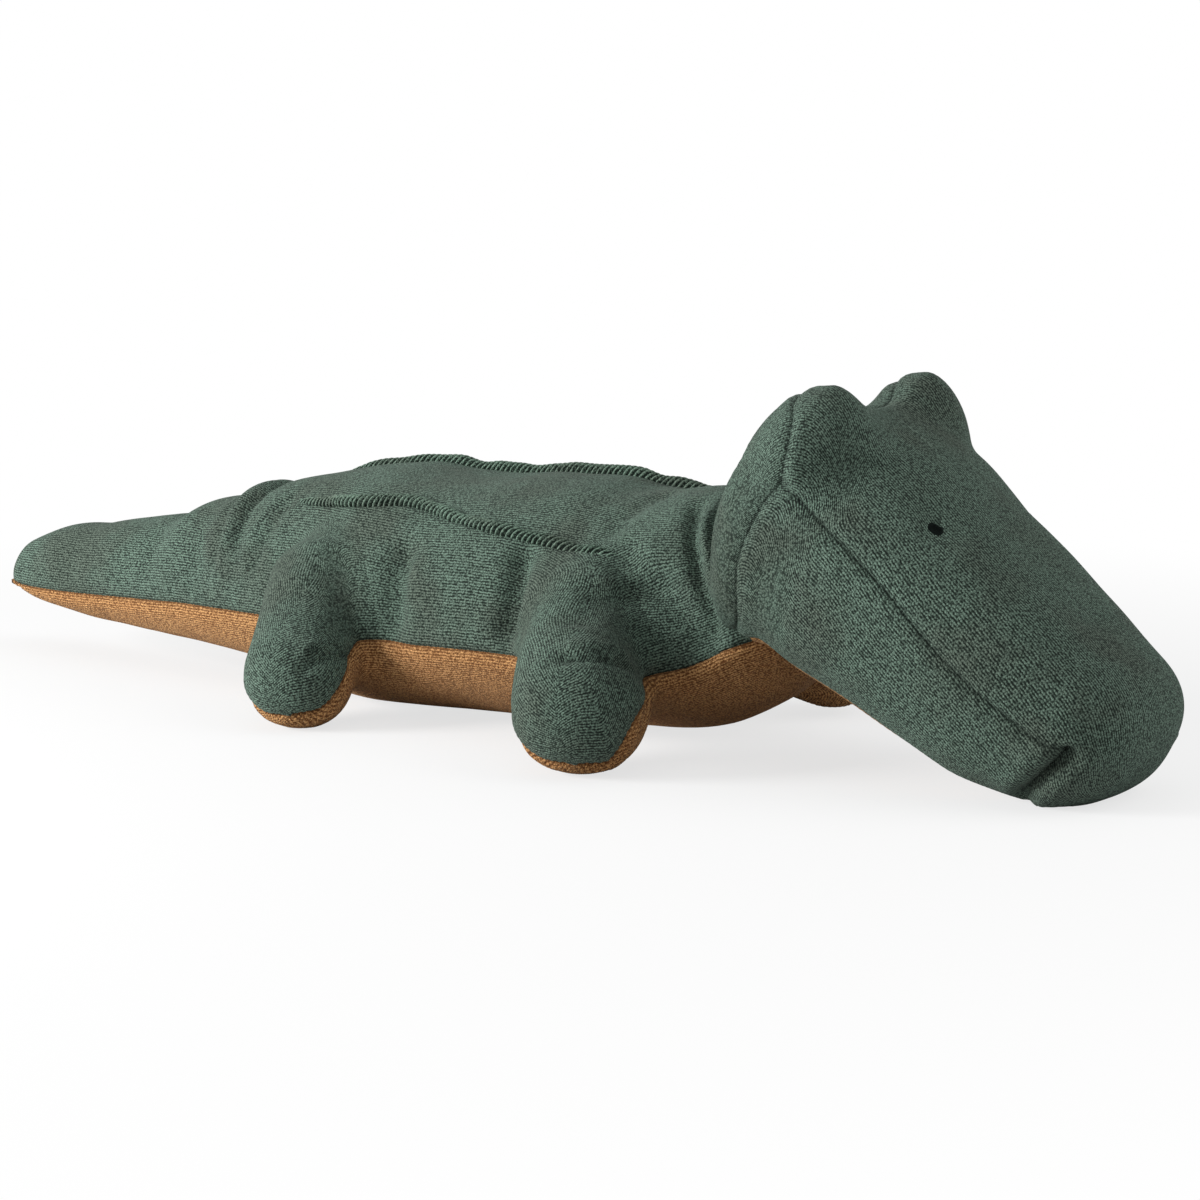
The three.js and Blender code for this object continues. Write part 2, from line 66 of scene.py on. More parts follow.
MM = 0.001
FULL_TURN = 360.0
HALF_TURN = 180.0
QUARTER_TURN = 90.0
WEAVE = "weave"
STITCH = "stitch"
NO_SEAM = 50.0  # millimetres from a seam at which it no longer shows
CROWN_FROM = 60.0  # height in millimetres over which the head's skin is its top
UP = np.array((0.0, 0.0, 1.0))
DOWN = -UP


class Side(Enum):
    """Side of the toy, as the sign of Y."""

    LEFT = 1
    RIGHT = -1

    @property
    def word(self) -> str:
        """The side in small letters, for names of pieces and nodes."""
        return self.name.lower()

    @property
    def direction(self) -> Array:
        """Unit vector to this side."""
        return np.array((0.0, float(self.value), 0.0))

    def mirror(self, point: Triple) -> Array:
        """Puts a point given for the left side on this side."""
        return np.array(point) * (1, self.value, 1)


class Cloth(Enum):
    """Kinds of cloth, each with a title and its material slot in the record."""

    GREEN = ("green", "green_terry")
    ROLLED = ("green rolled up", "green_terry")
    TAN = ("tan", "tan_terry")
    THREAD = ("thread", "eye_thread")

    @property
    def slot(self) -> str:
        """Material slot of the record."""
        return self.value[1]


# Curves and noise


def smoothstep(low: float, high: float, value: Array) -> Array:
    """Rises from 0 at low to 1 at high as 3t squared minus 2t cubed."""
    share = np.clip((value - low) / (high - low), 0.0, 1.0)
    return share * share * (3.0 - 2.0 * share)


def fade(low: float, high: float, value: Array) -> Array:
    """Falls from 1 at low to 0 at high, where smoothstep rises."""
    return 1.0 - smoothstep(low, high, value)


def bell(distance: Array, width: float) -> Array:
    """Falls from 1 at no distance as e to the minus square of distance over width."""
    return np.exp(-np.square(distance / width))


def unit(vectors: Array) -> Array:
    """Scales vectors to length 1."""
    return vectors / np.maximum(np.linalg.norm(vectors, axis=-1, keepdims=True), 1e-12)


def lengths(line: Array) -> Array:
    """Length along a line of points from the first of them to each."""
    return np.concatenate([[0.0], np.cumsum(np.linalg.norm(np.diff(line, axis=0), axis=1))])


def from_top(angle: Array) -> Array:
    """Angles from the top, from 0 to 180 degrees on either side."""
    return np.abs((angle + HALF_TURN) % FULL_TURN - HALF_TURN)


@dataclass(frozen=True)
class Curve:
    """Smooth line through given points, which never swings past them."""

    points: tuple[Pair, ...]

    def __call__(self, place: Array) -> Array:
        """Heights of the line at some places.

        Each step is a cubic whose end slopes are harmonic means of the neighbouring steps' slopes.

        Args:
            place: places along the line; beyond its ends the line keeps its end height.
        Returns:
            The heights, in the shape of place.
        """
        knots, heights = np.array(self.points, float).T
        step = np.diff(knots)
        rise = np.diff(heights) / step
        slopes = np.zeros_like(heights)
        slopes[0], slopes[-1] = rise[0], rise[-1]
        turning = rise[:-1] * rise[1:] <= 0
        safe = np.where(turning, 1.0, rise[:-1] * rise[1:])
        mean = 2.0 * safe / np.where(turning, 1.0, rise[:-1] + rise[1:])
        slopes[1:-1] = np.where(turning, 0.0, mean)
        where = np.clip(place, knots[0], knots[-1])
        left = np.clip(np.searchsorted(knots, where, side="right") - 1, 0, len(step) - 1)
        share = (where - knots[left]) / step[left]
        cube, square = share**3, share**2
        return (
            heights[left] * (2 * cube - 3 * square + 1)
            + slopes[left] * step[left] * (cube - 2 * square + share)
            + heights[left + 1] * (3 * square - 2 * cube)
            + slopes[left + 1] * step[left] * (cube - square)
        )


def soft_noise(points: Array, size: float, seed: int) -> Array:
    """Random heights from -1 to 1 on a lattice, blended between its corners.

    Each corner's height is the fraction of a large sine of its whole numbers, and the eight corners round a
    point are mixed by smoothstep along each axis.

    Args:
        points: places in millimetres, with x, y and z last.
        size: the lattice's step in millimetres.
        seed: another number gives another pattern.
    Returns:
        One height for each point.
    """
    cell = points / size
    base = np.floor(cell)
    share = smoothstep(0.0, 1.0, cell - base)
    total = np.zeros(points.shape[:-1])
    for number in range(8):
        corner = np.array([number & 1, number >> 1 & 1, number >> 2 & 1])
        mixed = np.sin((base + corner) @ np.array((12.9898, 78.233, 37.719)) + seed * 4.137) * 43758.5453
        weight = np.prod(np.where(corner == 1, share, 1.0 - share), axis=-1)
        total += weight * (2.0 * (mixed - np.floor(mixed)) - 1.0)
    return total


def stuffing(points: Array, waves: tuple[Triple, ...]) -> Array:
    """Lumps of the stuffing: soft noises, each given by its height, its size and its seed."""
    return sum(height * soft_noise(points, size, seed) for height, size, seed in waves)


def superellipse(sine: Array, cosine: Array, width: Array, height: Array, power: Array | float) -> Array:
    """Distance from a superellipse's middle to its line in the direction with that sine and cosine."""
    return ((np.abs(sine) / width) ** power + (np.abs(cosine) / height) ** power) ** (-1.0 / power)


def smooth_union(first: Array, second: Array, fillet: float) -> Array:
    """Smaller of two distances, lowered by a parabola where they differ by less than the fillet."""
    near = np.maximum(fillet - np.abs(first - second), 0.0) / fillet
    return np.minimum(first, second) - near * near * fillet / 4.0


def solve(test: Callable[[Array], Array], low: Array, high: Array, rounds: int = 26) -> Array:
    """Halves the span between low, where the test is positive, and high, where it is negative.

    Args:
        test: the function whose change of sign is looked for.
        low: values where it is positive.
        high: values where it is negative.
        rounds: how often the span is halved.
    Returns:
        The values where the sign changes.
    """
    for _ in range(rounds):
        middle = (low + high) / 2.0
        positive = test(middle) > 0
        low = np.where(positive, middle, low)
        high = np.where(positive, high, middle)
    return (low + high) / 2.0


def span(like: Array, low: float, high: float) -> tuple[Array, Array]:
    """Two ends for solve, the same for each number of an array."""
    return np.full_like(like, low), np.full_like(like, high)


def crowd(cells: int, strength: float = 0.62) -> Array:
    """Shares from 0 to 1 that lie closer at both ends: t minus a sine of it."""
    share = np.linspace(0.0, 1.0, cells + 1)
    return share - strength * np.sin(2.0 * np.pi * share) / (2.0 * np.pi)


def ring(lines: list[Array], cells: list[int]) -> Array:
    """Angles of a grid's columns, with a column on each line.

    Args:
        lines: angle of each line at each row, in rising order; the last is the first and a full turn.
        cells: how many columns of cells lie between each line and the next.
    Returns:
        Angles by rows and columns.
    """
    parts = [
        start[..., None] + (end - start)[..., None] * crowd(count)[:-1]
        for start, end, count in zip(lines[:-1], lines[1:], cells)
    ]
    return np.concatenate([*parts, lines[-1][..., None]], axis=-1)


def bands(edges: Array) -> list[Array]:
    """Which columns of cells lie between each of some seams' columns and the next."""
    column = np.arange(edges[-1])
    return [(column >= low) & (column < high) for low, high in zip(edges[:-1], edges[1:])]


@dataclass(frozen=True)
class Fold:
    """Crease or ridge of the cloth along a line of points, alike on both sides of the toy."""

    height: float
    width: float
    line: tuple[Triple, ...]
    thickness: float = 14.0
    taper: float = 0.22

    def relief(self, points: Array, outward: Array) -> Array:
        """Height of the fold at each point.

        It is a bell of the distance to the nearest place on the line, measured within the cloth's face, where
        the line counts as a wall of some thickness across that face. It fades out over a share of the line's
        length at both of its ends.

        Args:
            points: places on the cloth in millimetres.
            outward: unit normals there.
        Returns:
            Heights in millimetres.
        """
        flip = np.where(points[..., 1:2] < 0, -1.0, 1.0) * (0.0, 1.0, 0.0) + (1.0, 0.0, 1.0)
        here, normal = points * flip, outward * flip
        corners = np.array(self.line, float)
        steps = np.linalg.norm(np.diff(corners, axis=0), axis=1)
        starts = np.concatenate([[0.0], np.cumsum(steps)])
        best = np.full(points.shape[:-1], np.inf)
        place = np.zeros_like(best)
        for start, end, before, length in zip(corners[:-1], corners[1:], starts, steps):
            axis = (end - start) / length
            along = np.clip((here - start) @ axis, 0.0, length)
            gap = here - start - along[..., None] * axis
            lift = np.sum(gap * normal, axis=-1)
            flat = np.linalg.norm(gap - lift[..., None] * normal, axis=-1)
            flat = flat + np.maximum(np.abs(lift) - self.thickness, 0.0)
            nearer = flat < best
            best = np.where(nearer, flat, best)
            place = np.where(nearer, before + along, place)
        share = place / starts[-1]
        ends = smoothstep(0.0, self.taper, share) * fade(1.0 - self.taper, 1.0, share)
        return self.height * bell(best, self.width) * ends


# Skins and the shells cut from them


@dataclass(frozen=True)
class SeamStyle:
    """How cloth lies beside a sewn seam."""

    depth: float = 1.5
    width: float = 1.4
    pillow: float = 0.55
    pillow_place: float = 5.5
    pillow_width: float = 4.0
    pitch: float = 3.4
    pucker: float = 0.28
    reach: float = 4.0
    slant: float = 0.35

    def relief(self, distance: Array, along: Array) -> Array:
        """Height of the cloth beside the seam.

        A bell at the stitches goes down, a wider bell beside it comes up, and a cosine along the seam, whose
        phase slants with the distance, fades away from it.

        Args:
            distance: distance from the seam in millimetres.
            along: place along the seam in millimetres.
        Returns:
            Heights in millimetres.
        """
        phase = along / self.pitch + self.slant * distance / self.pitch
        gather = self.pucker * np.cos(2.0 * np.pi * phase) * np.exp(-distance / self.reach)
        return (
            -self.depth * np.exp(-distance / self.width)
            + self.pillow * bell(distance - self.pillow_place, self.pillow_width)
            + gather
        )


@dataclass
class Skin:
    """Outer face of a stuffed form, as a grid of points in millimetres whose columns go round it."""

    base: Array
    first_pole: bool = False
    last_pole: bool = False
    points: Array = field(init=False)
    outward: Array = field(init=False)

    def __post_init__(self) -> None:
        """Measures the bare form."""
        self.points = self.base
        self.outward = self.normals(self.base)

    def normals(self, points: Array) -> Array:
        """Unit normals that point away from the grid's middle line.

        They are the cross product of the differences along the rows and round the columns.

        Args:
            points: grid of points whose last column repeats the first.
        Returns:
            Normals in the same grid.
        """
        ring_points = np.concatenate([points[:, -2:-1], points, points[:, 1:2]], axis=1)
        across = ring_points[:, 2:] - ring_points[:, :-2]
        along = np.gradient(points, axis=0)
        normal = unit(np.cross(across, along))
        if self.first_pole:
            normal[0] = unit(normal[1].mean(axis=0))
        if self.last_pole:
            normal[-1] = unit(normal[-2].mean(axis=0))
        away = points - points[:, :-1].mean(axis=1, keepdims=True)
        return normal * (1.0 if np.sum(normal * away) > 0 else -1.0)

    def raise_by(self, relief: Array) -> None:
        """Moves the points outwards along the bare form's normals, but none below the surface it lies on.

        Args:
            relief: heights in millimetres.
        """
        self.points = self.base + self.outward * relief[..., None]
        self.points[..., 2] = np.maximum(self.points[..., 2], 0.0)
        self.points[:, -1] = self.points[:, 0]
        self.outward = self.normals(self.points)

    def across(self) -> Array:
        """Lengths round the form from the first column."""
        steps = np.linalg.norm(np.diff(self.base, axis=1), axis=-1)
        return np.concatenate([np.zeros((len(steps), 1)), np.cumsum(steps, axis=1)], axis=1)

    def along(self) -> Array:
        """Lengths down each column from the first row."""
        steps = np.linalg.norm(np.diff(self.base, axis=0), axis=-1)
        return np.concatenate([np.zeros((1, steps.shape[1])), np.cumsum(steps, axis=0)], axis=0)

    def across_from(self, *columns: int) -> Array:
        """Lengths round the form to the nearest of some columns."""
        length = self.across()
        full = length[:, -1:]
        gaps = [np.abs(length - length[:, column : column + 1]) for column in columns]
        return np.minimum.reduce([np.minimum(gap, full - gap) for gap in gaps])


def add_object(name: str, data: bpy.types.ID) -> bpy.types.Object:
    """Makes an object and puts it in the scene."""
    made = bpy.data.objects.new(name, data)
    bpy.context.scene.collection.objects.link(made)
    return made


@dataclass
class Mesher:
    """Turns cells of a skin into a closed cloth shell.

    The weave map holds each point's place on the flat cloth, and the stitch map its distance from the
    nearest seam and the place along that seam, all in millimetres.
    """

    skin: Skin
    weave: Array
    stitch: Array
    thickness: float = 1.6

    def build(self, name: str, cells: Array) -> bpy.types.Object:
        """Makes one panel.

        The outer face holds the skin's own points and the inner face lies one thickness further in. Wherever
        a marked cell has no marked neighbour, a strip joins the two faces. With no thickness only the outer
        face is made, which is closed if the whole skin is marked.

        Args:
            name: the panel's name.
            cells: true for each cell of the grid that belongs to the panel.
        Returns:
            The panel's object, at the origin.
        """
        rows, columns = self.skin.points.shape[:2]
        plain = np.arange(rows * columns).reshape(rows, columns)
        index = plain.copy()
        index[:, -1] = index[:, 0]
        if self.skin.first_pole:
            index[0] = index[0, 0]
        if self.skin.last_pole:
            index[-1] = index[-1, 0]
        outer, outer_plain = (self.corners(grid)[cells] for grid in (index, plain))
        across = self.skin.points[:, 1:] - self.skin.points[:, :-1]
        along = self.skin.points[1:] - self.skin.points[:-1]
        facing = np.cross(across[:-1], along[:, :-1])
        if np.sum(facing * self.skin.outward[:-1, :-1]) < 0:
            outer, outer_plain = outer[:, ::-1], outer_plain[:, ::-1]
        count = rows * columns
        points = self.skin.points.reshape(-1, 3)
        faces, uv_faces = outer, outer_plain
        rim = np.zeros((0, 4), int)
        if self.thickness:
            points = np.concatenate([points, points - self.skin.outward.reshape(-1, 3) * self.thickness])
            start, end = outer.ravel(), np.roll(outer, -1, axis=1).ravel()
            uv_start, uv_end = outer_plain.ravel(), np.roll(outer_plain, -1, axis=1).ravel()
            real = start != end
            lone = real & ~np.isin(start * count + end, (end * count + start)[real])
            rim = np.stack([end, start, start + count, end + count], axis=-1)[lone]
            uv_rim = np.stack([uv_end, uv_start, uv_start, uv_end], axis=-1)[lone]
            faces = np.concatenate([outer, outer[:, ::-1] + count, rim])
            uv_faces = np.concatenate([outer_plain, outer_plain[:, ::-1], uv_rim])
        maps = {WEAVE: self.weave.reshape(-1, 2)[uv_faces], STITCH: self.stitch.reshape(-1, 2)[uv_faces]}
        return self.mesh(name, points, faces, maps, rim)

    @staticmethod
    def corners(grid: Array) -> Array:
        """Four corner numbers of each cell."""
        return np.stack([grid[:-1, :-1], grid[:-1, 1:], grid[1:, 1:], grid[1:, :-1]], axis=-1)

    @staticmethod
    def mesh(name: str, points: Array, faces: Array, maps: dict[str, Array], rim: Array) -> bpy.types.Object:
        """Writes arrays into a mesh.

        Args:
            name: the object's name.
            points: all points in millimetres.
            faces: four corners for each face; a corner that repeats the one before it is dropped.
            maps: a place in millimetres for each corner, by the map's name.
            rim: the faces of the rim, whose edges stay sharp.
        Returns:
            The new object.
        """
        used, packed = np.unique(faces, return_inverse=True)
        packed = packed.reshape(faces.shape)
        keep = packed != np.roll(packed, 1, axis=1)
        totals = keep.sum(axis=1)
        loops = packed[keep]
        mesh = bpy.data.meshes.new(name)
        mesh.vertices.add(len(used))
        mesh.vertices.foreach_set("co", (points[used] * MM).astype(np.float32).ravel())
        mesh.loops.add(len(loops))
        mesh.loops.foreach_set("vertex_index", loops.astype(np.int32))
        mesh.polygons.add(len(totals))
        starts = np.concatenate([[0], np.cumsum(totals)[:-1]])
        mesh.polygons.foreach_set("loop_start", starts.astype(np.int32))
        mesh.update(calc_edges=True)
        for title, places in maps.items():
            layer = mesh.uv_layers.new(name=title)
            layer.data.foreach_set("uv", (places[keep] * MM).astype(np.float32).ravel())
        mesh.polygons.foreach_set("use_smooth", np.ones(len(totals), bool))
        Mesher.sharpen(mesh, np.searchsorted(used, rim))
        mesh.validate()
        return add_object(name, mesh)

    @staticmethod
    def sharpen(mesh: bpy.types.Mesh, rim: Array) -> None:
        """Marks the edges between the rim and the two faces as sharp.

        Args:
            mesh: the finished mesh.
            rim: corner numbers of the rim's faces, outer edge first and inner edge last.
        """
        if not len(rim):
            return
        ends = np.empty(len(mesh.edges) * 2, np.int32)
        mesh.edges.foreach_get("vertices", ends)
        ends = np.sort(ends.reshape(-1, 2).astype(np.int64), axis=1)
        wanted = np.sort(np.concatenate([rim[:, :2], rim[:, 2:]]).astype(np.int64), axis=1)
        scale = len(mesh.vertices)
        sharp = np.isin(ends[:, 0] * scale + ends[:, 1], wanted[:, 0] * scale + wanted[:, 1])
        mesh.attributes.new("sharp_edge", "BOOLEAN", "EDGE").data.foreach_set("value", sharp)


# Finishes


@dataclass
class Nodes:
    """Short way to add shader nodes and join them."""

    tree: bpy.types.NodeTree

    def add(self, kind: str, settings: dict | None = None, **inputs: object) -> bpy.types.Node:
        """Adds a node.

        Args:
            kind: the node's type.
            settings: values of the node itself.
            inputs: a value or an output for each input socket, by its name with _ for a space.
        Returns:
            The node.
        """
        node = self.tree.nodes.new(kind)
        for name, value in (settings or {}).items():
            setattr(node, name, value)
        for name, value in inputs.items():
            self.join(node.inputs[name.replace("_", " ")], value)
        return node

    def join(self, socket: Socket, value: object) -> None:
        """Links an output to a socket, or writes a plain value on it."""
        if isinstance(value, Socket):
            self.tree.links.new(value, socket)
        else:
            socket.default_value = value

    def math(self, operation: str, first: object, second: object = 0.0) -> Socket:
        """Adds a calculation with one or two numbers and gives its output."""
        node = self.add("ShaderNodeMath", {"operation": operation})
        self.join(node.inputs[0], first)
        self.join(node.inputs[1], second)
        return node.outputs[0]

    def total(self, *terms: tuple[object, float]) -> Socket:
        """Adds up numbers, each times its own weight."""
        parts = [self.math("MULTIPLY", value, weight) for value, weight in terms]
        return functools.reduce(lambda first, second: self.math("ADD", first, second), parts)

    def wave(self, place: Socket, pitch: float, bend: Socket | None = None, weight: float = 0.0) -> Socket:
        """Adds a sine of a place, with a pitch in millimetres, and bent by a weighted number if given."""
        turn = self.math("MULTIPLY", place, 2 * math.pi / (pitch * MM))
        if bend is not None:
            turn = self.math("ADD", turn, self.math("MULTIPLY", bend, weight))
        return self.math("SINE", turn)

    def noise(self, place: object, scale: float, detail: float = 2.0, **more: float) -> Socket:
        """Adds noise of a scale per metre and gives its height."""
        return self.add("ShaderNodeTexNoise", Vector=place, Scale=scale, Detail=detail, **more).outputs["Fac"]

    def flat_place(self, uv_map: str, axis: str) -> Socket:
        """Gives one coordinate, X or Y, of the place on a map."""
        places = self.add("ShaderNodeUVMap", {"uv_map": uv_map}).outputs["UV"]
        return self.add("ShaderNodeSeparateXYZ", Vector=places).outputs[axis]

    def object_place(self) -> Socket:
        """Gives the place in the object's own coordinates."""
        return self.add("ShaderNodeTexCoord").outputs["Object"]

    def mix(self, factor: object, first: object, second: object) -> Socket:
        """Mixes two colours and gives the result's output."""
        node = self.add("ShaderNodeMix", {"data_type": "RGBA"})
        self.join(node.inputs["Factor"], factor)
        self.join(node.inputs[6], first)
        self.join(node.inputs[7], second)
        return node.outputs[2]

    def spread(self, value: object, low: float, high: float) -> Socket:
        """Stretches the values from low to high to 0 to 1, smoothly."""
        node = self.add("ShaderNodeMapRange", {"interpolation_type": "SMOOTHSTEP"})
        for name, part in (("Value", value), ("From Min", low), ("From Max", high)):
            self.join(node.inputs[name], part)
        return node.outputs["Result"]

    def surface(self, output: bpy.types.Node, height: Socket, bump: Pair, **inputs: object) -> None:
        """Ends a material in a principled shader with a bump.

        Args:
            output: the material's output node.
            height: height that the bump follows.
            bump: its strength, and in millimetres what a height of 1 stands for.
            inputs: what else the shader is given, as for add.
        """
        strength, distance = bump
        relief = self.add("ShaderNodeBump", Strength=strength, Distance=distance * MM, Height=height)
        shader = self.add("ShaderNodeBsdfPrincipled", Normal=relief.outputs["Normal"], **inputs)
        self.join(output.inputs["Surface"], shader.outputs[0])


def linear(colour: Colour) -> tuple[float, float, float, float]:
    """Turns a screen colour from 0 to 255 into the linear values of a shader."""
    share = np.array(colour, float) / 255.0
    flat = np.where(share <= 0.04045, share / 12.92, ((share + 0.055) / 1.055) ** 2.4)
    return (*flat.tolist(), 1.0)


def new_material(name: str) -> tuple[bpy.types.Material, Nodes, bpy.types.Node]:
    """Makes an empty material.

    Args:
        name: the material's name.
    Returns:
        The material, its nodes and its output node.
    """
    material = bpy.data.materials.new(name)
    material.use_nodes = True
    material.node_tree.nodes.clear()
    nodes = Nodes(material.node_tree)
    return material, nodes, nodes.add("ShaderNodeOutputMaterial")


@dataclass(frozen=True)
class Terry:
    """Knitted terry cloth: small loops in rows, with painted shade in the gaps between them and along the
    seams, dotted by the stitches.

    The four colours come first, the gap's being the colour of the painted shade. Pitches, widths and heights
    are in millimetres, scales are per metre, shares are weights in the height of the pile, and ranges are the
    values that are stretched to 0 to 1.
    """

    name: str
    tip: Colour
    gap: Colour
    faded: Colour
    sheen: Colour
    row_pitch: float = 1.25
    row_share: float = 0.19
    row_bend: float = 4.6
    row_bend_scale: float = 120.0
    loop_pitch: float = 0.85
    loop_height: float = 0.55
    loop_range: Pair = (0.1, 0.85)
    loop_share: float = 0.52
    shade_share: float = 0.17
    fibre_scale: float = 1500.0
    fibre_share: float = 0.3
    pile_range: Pair = (0.12, 0.98)
    patch_scale: float = 22.0
    patch_range: Pair = (0.42, 0.66)
    grain_scale: float = 620.0
    grain_range: Pair = (0.45, 0.75)
    grain_dark: float = 0.16
    # The stitch numbers below set the painted shade in the groove along each seam.
    stitch_pitch: float = 3.4
    stitch_range: Pair = (-0.2, 1.7)
    stitch_beat: float = 0.7
    seam_shade_strength: float = 0.6

    def material(self) -> bpy.types.Material:
        """Builds the material.

        Loops are rounded cells round scattered points, each with its own tone. Their height, with a sine
        across the cloth's rows and fine fibre noise, drives the colour and the bump: where it is low the
        colour falls to the gap's, which is painted shade between the loops and rows mixed with their random
        tone. Slow noise fades patches of the cloth, and near a seam painted shade turns the colour to the
        gap's, more between the stitches than at them.
        """
        material, nodes, output = new_material(self.name)
        place = nodes.object_place()
        loops = 1.0 / (self.loop_pitch * MM)
        cell = nodes.add("ShaderNodeTexVoronoi", {"feature": "F1"}, Vector=place, Scale=loops, Randomness=1.0)
        dome = nodes.math("SUBTRACT", 1.0, nodes.spread(cell.outputs["Distance"], *self.loop_range))
        # Low pile takes the gap's colour: painted shade between loops and rows, with random tone from the
        # loops and fibres.
        pile = nodes.total(
            (dome, self.loop_share),
            (nodes.add("ShaderNodeSeparateXYZ", Vector=cell.outputs["Color"]).outputs["X"], self.shade_share),
            (nodes.noise(place, self.fibre_scale), self.fibre_share),
            (self.rows(nodes, place), self.row_share),
        )
        slow = nodes.noise(place, self.patch_scale, 3.0, Roughness=0.6)
        patch = nodes.mix(nodes.spread(slow, *self.patch_range), linear(self.tip), linear(self.faded))
        grain = nodes.spread(nodes.noise(place, self.grain_scale), *self.grain_range)
        # Painted shade along the seams and random grain darken the loops towards the gap's colour.
        dark = nodes.math("MAXIMUM", nodes.math("MULTIPLY", grain, self.grain_dark), self.seams(nodes))
        shade = nodes.mix(dark, patch, linear(self.gap))
        nodes.surface(
            output,
            pile,
            (0.8, self.loop_height),
            Base_Color=nodes.mix(nodes.spread(pile, *self.pile_range), linear(self.gap), shade),
            Roughness=0.95,
            Specular_IOR_Level=0.15,
            Sheen_Weight=0.12,
            Sheen_Roughness=0.5,
            Sheen_Tint=linear(self.sheen),
        )
        return material

    def rows(self, nodes: Nodes, place: Socket) -> Socket:
        """Height of the cloth's rows: a sine across them, bent by noise."""
        bend = nodes.noise(place, self.row_bend_scale)
        return nodes.wave(nodes.flat_place(WEAVE, "Y"), self.row_pitch, bend, self.row_bend)

    def seams(self, nodes: Nodes) -> Socket:
        """Painted shade in the groove beside a seam, from 0 to 1, in which a sine along the seam sets the
        stitches apart.
        """
        beat = nodes.wave(nodes.flat_place(STITCH, "Y"), self.stitch_pitch)
        apart = nodes.math("ABSOLUTE", nodes.flat_place(STITCH, "X"))
        gap = nodes.total((apart, 1.0), (beat, self.stitch_beat * MM))
        near, far = self.stitch_range
        clear = nodes.spread(gap, near * MM, far * MM)
        return nodes.math("MULTIPLY", nodes.math("SUBTRACT", 1.0, clear), self.seam_shade_strength)


@dataclass(frozen=True)
class Thread:
    """Satin stitches of dark embroidery thread."""

    name: str
    colour: Colour = (5, 8, 7)
    # light: a painted highlight where the strands stand high, mixed with random tone from their twist
    light: Colour = (19, 27, 24)
    strand: float = 0.5
    strand_share: float = 0.35
    twist_scale: float = 3000.0

    def material(self) -> bpy.types.Material:
        """Builds the material: fine bands along the stitches, lighter where they stand high, partly a painted
        highlight on the strands' tops and partly random twist, and hardly any gloss.
        """
        material, nodes, output = new_material(self.name)
        wave = nodes.wave(nodes.flat_place(WEAVE, "Y"), self.strand)
        twist = nodes.noise(nodes.object_place(), self.twist_scale)
        height = nodes.total((wave, self.strand_share), (twist, 1.0))
        colour = nodes.mix(nodes.spread(height, 0.2, 1.0), linear(self.colour), linear(self.light))
        nodes.surface(output, height, (0.5, 0.15), Base_Color=colour, Roughness=0.8, Specular_IOR_Level=0.05)
        return material


@dataclass(frozen=True)
class Wardrobe:
    """The toy's finishes; a terry's colours are those of its loops, the painted shade in its gaps, its faded
    patches and its sheen.
    """

    green: Terry = Terry("Green_Terry", (108, 130, 116), (16, 25, 20), (98, 111, 99), (170, 190, 178))
    # Cloth of the back's rolls: their rows follow the ribs, so a strong dark share paints shade in the
    # grooves; tips and gaps a little lighter than the flat green's.
    rolled: Terry = Terry(
        "Green_Terry_Rolled",
        (116, 140, 124),
        (22, 33, 27),
        (108, 122, 109),
        (170, 190, 178),
        row_pitch=2.9,
        row_share=0.38,
        row_bend=0.4,
    )
    tan: Terry = Terry("Tan_Terry", (203, 156, 104), (88, 53, 25), (189, 142, 93), (225, 200, 165))
    thread: Thread = Thread("Eye_Thread")

    def materials(self) -> dict[Cloth, bpy.types.Material]:
        """Builds the material of each kind of cloth."""
        finishes = (self.green, self.rolled, self.tan, self.thread)
        return {cloth: finish.material() for cloth, finish in zip(Cloth, finishes)}


# Bodies that carry the panels


@dataclass(frozen=True)
class Carrier:
    """The CAD body that a panel rides on, or two bodies and two places for a bend between them, which is not
    made.
    """

    body: str
    onto: str = ""
    start: Triple = (0.0, 0.0, 0.0)
    end: Triple = (0.0, 0.0, 0.0)

    def take(self, piece: bpy.types.Object) -> None:
        """Joins a finished piece to its body; with two bodies it only bakes the piece's transform."""
        if self.onto:
            self.start
            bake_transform(piece)
        else:
            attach(piece, self.body)


@dataclass
class Dresser:
    """Gives each finished panel its material and its carrier's body, and hides the CAD nodes that it stands
    for.
    """

    materials: dict[Cloth, bpy.types.Material]

    def dress(
        self, piece: bpy.types.Object, cloth: Cloth, carrier: Carrier, nodes: list[str]
    ) -> None:
        """Finishes one piece.

        Args:
            piece: the object, with its final mesh.
            cloth: what it is made of.
            carrier: what it is joined to; one with two bodies only bakes its transform.
            nodes: the CAD nodes that it stands for.
        """
        piece.data.materials.append(self.materials[cloth])
        carrier.take(piece)
        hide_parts(*nodes)
        log.info("%s: %d faces", piece.name, len(piece.data.polygons))


# Folds of the cloth, in millimetres, with Y given for the left side

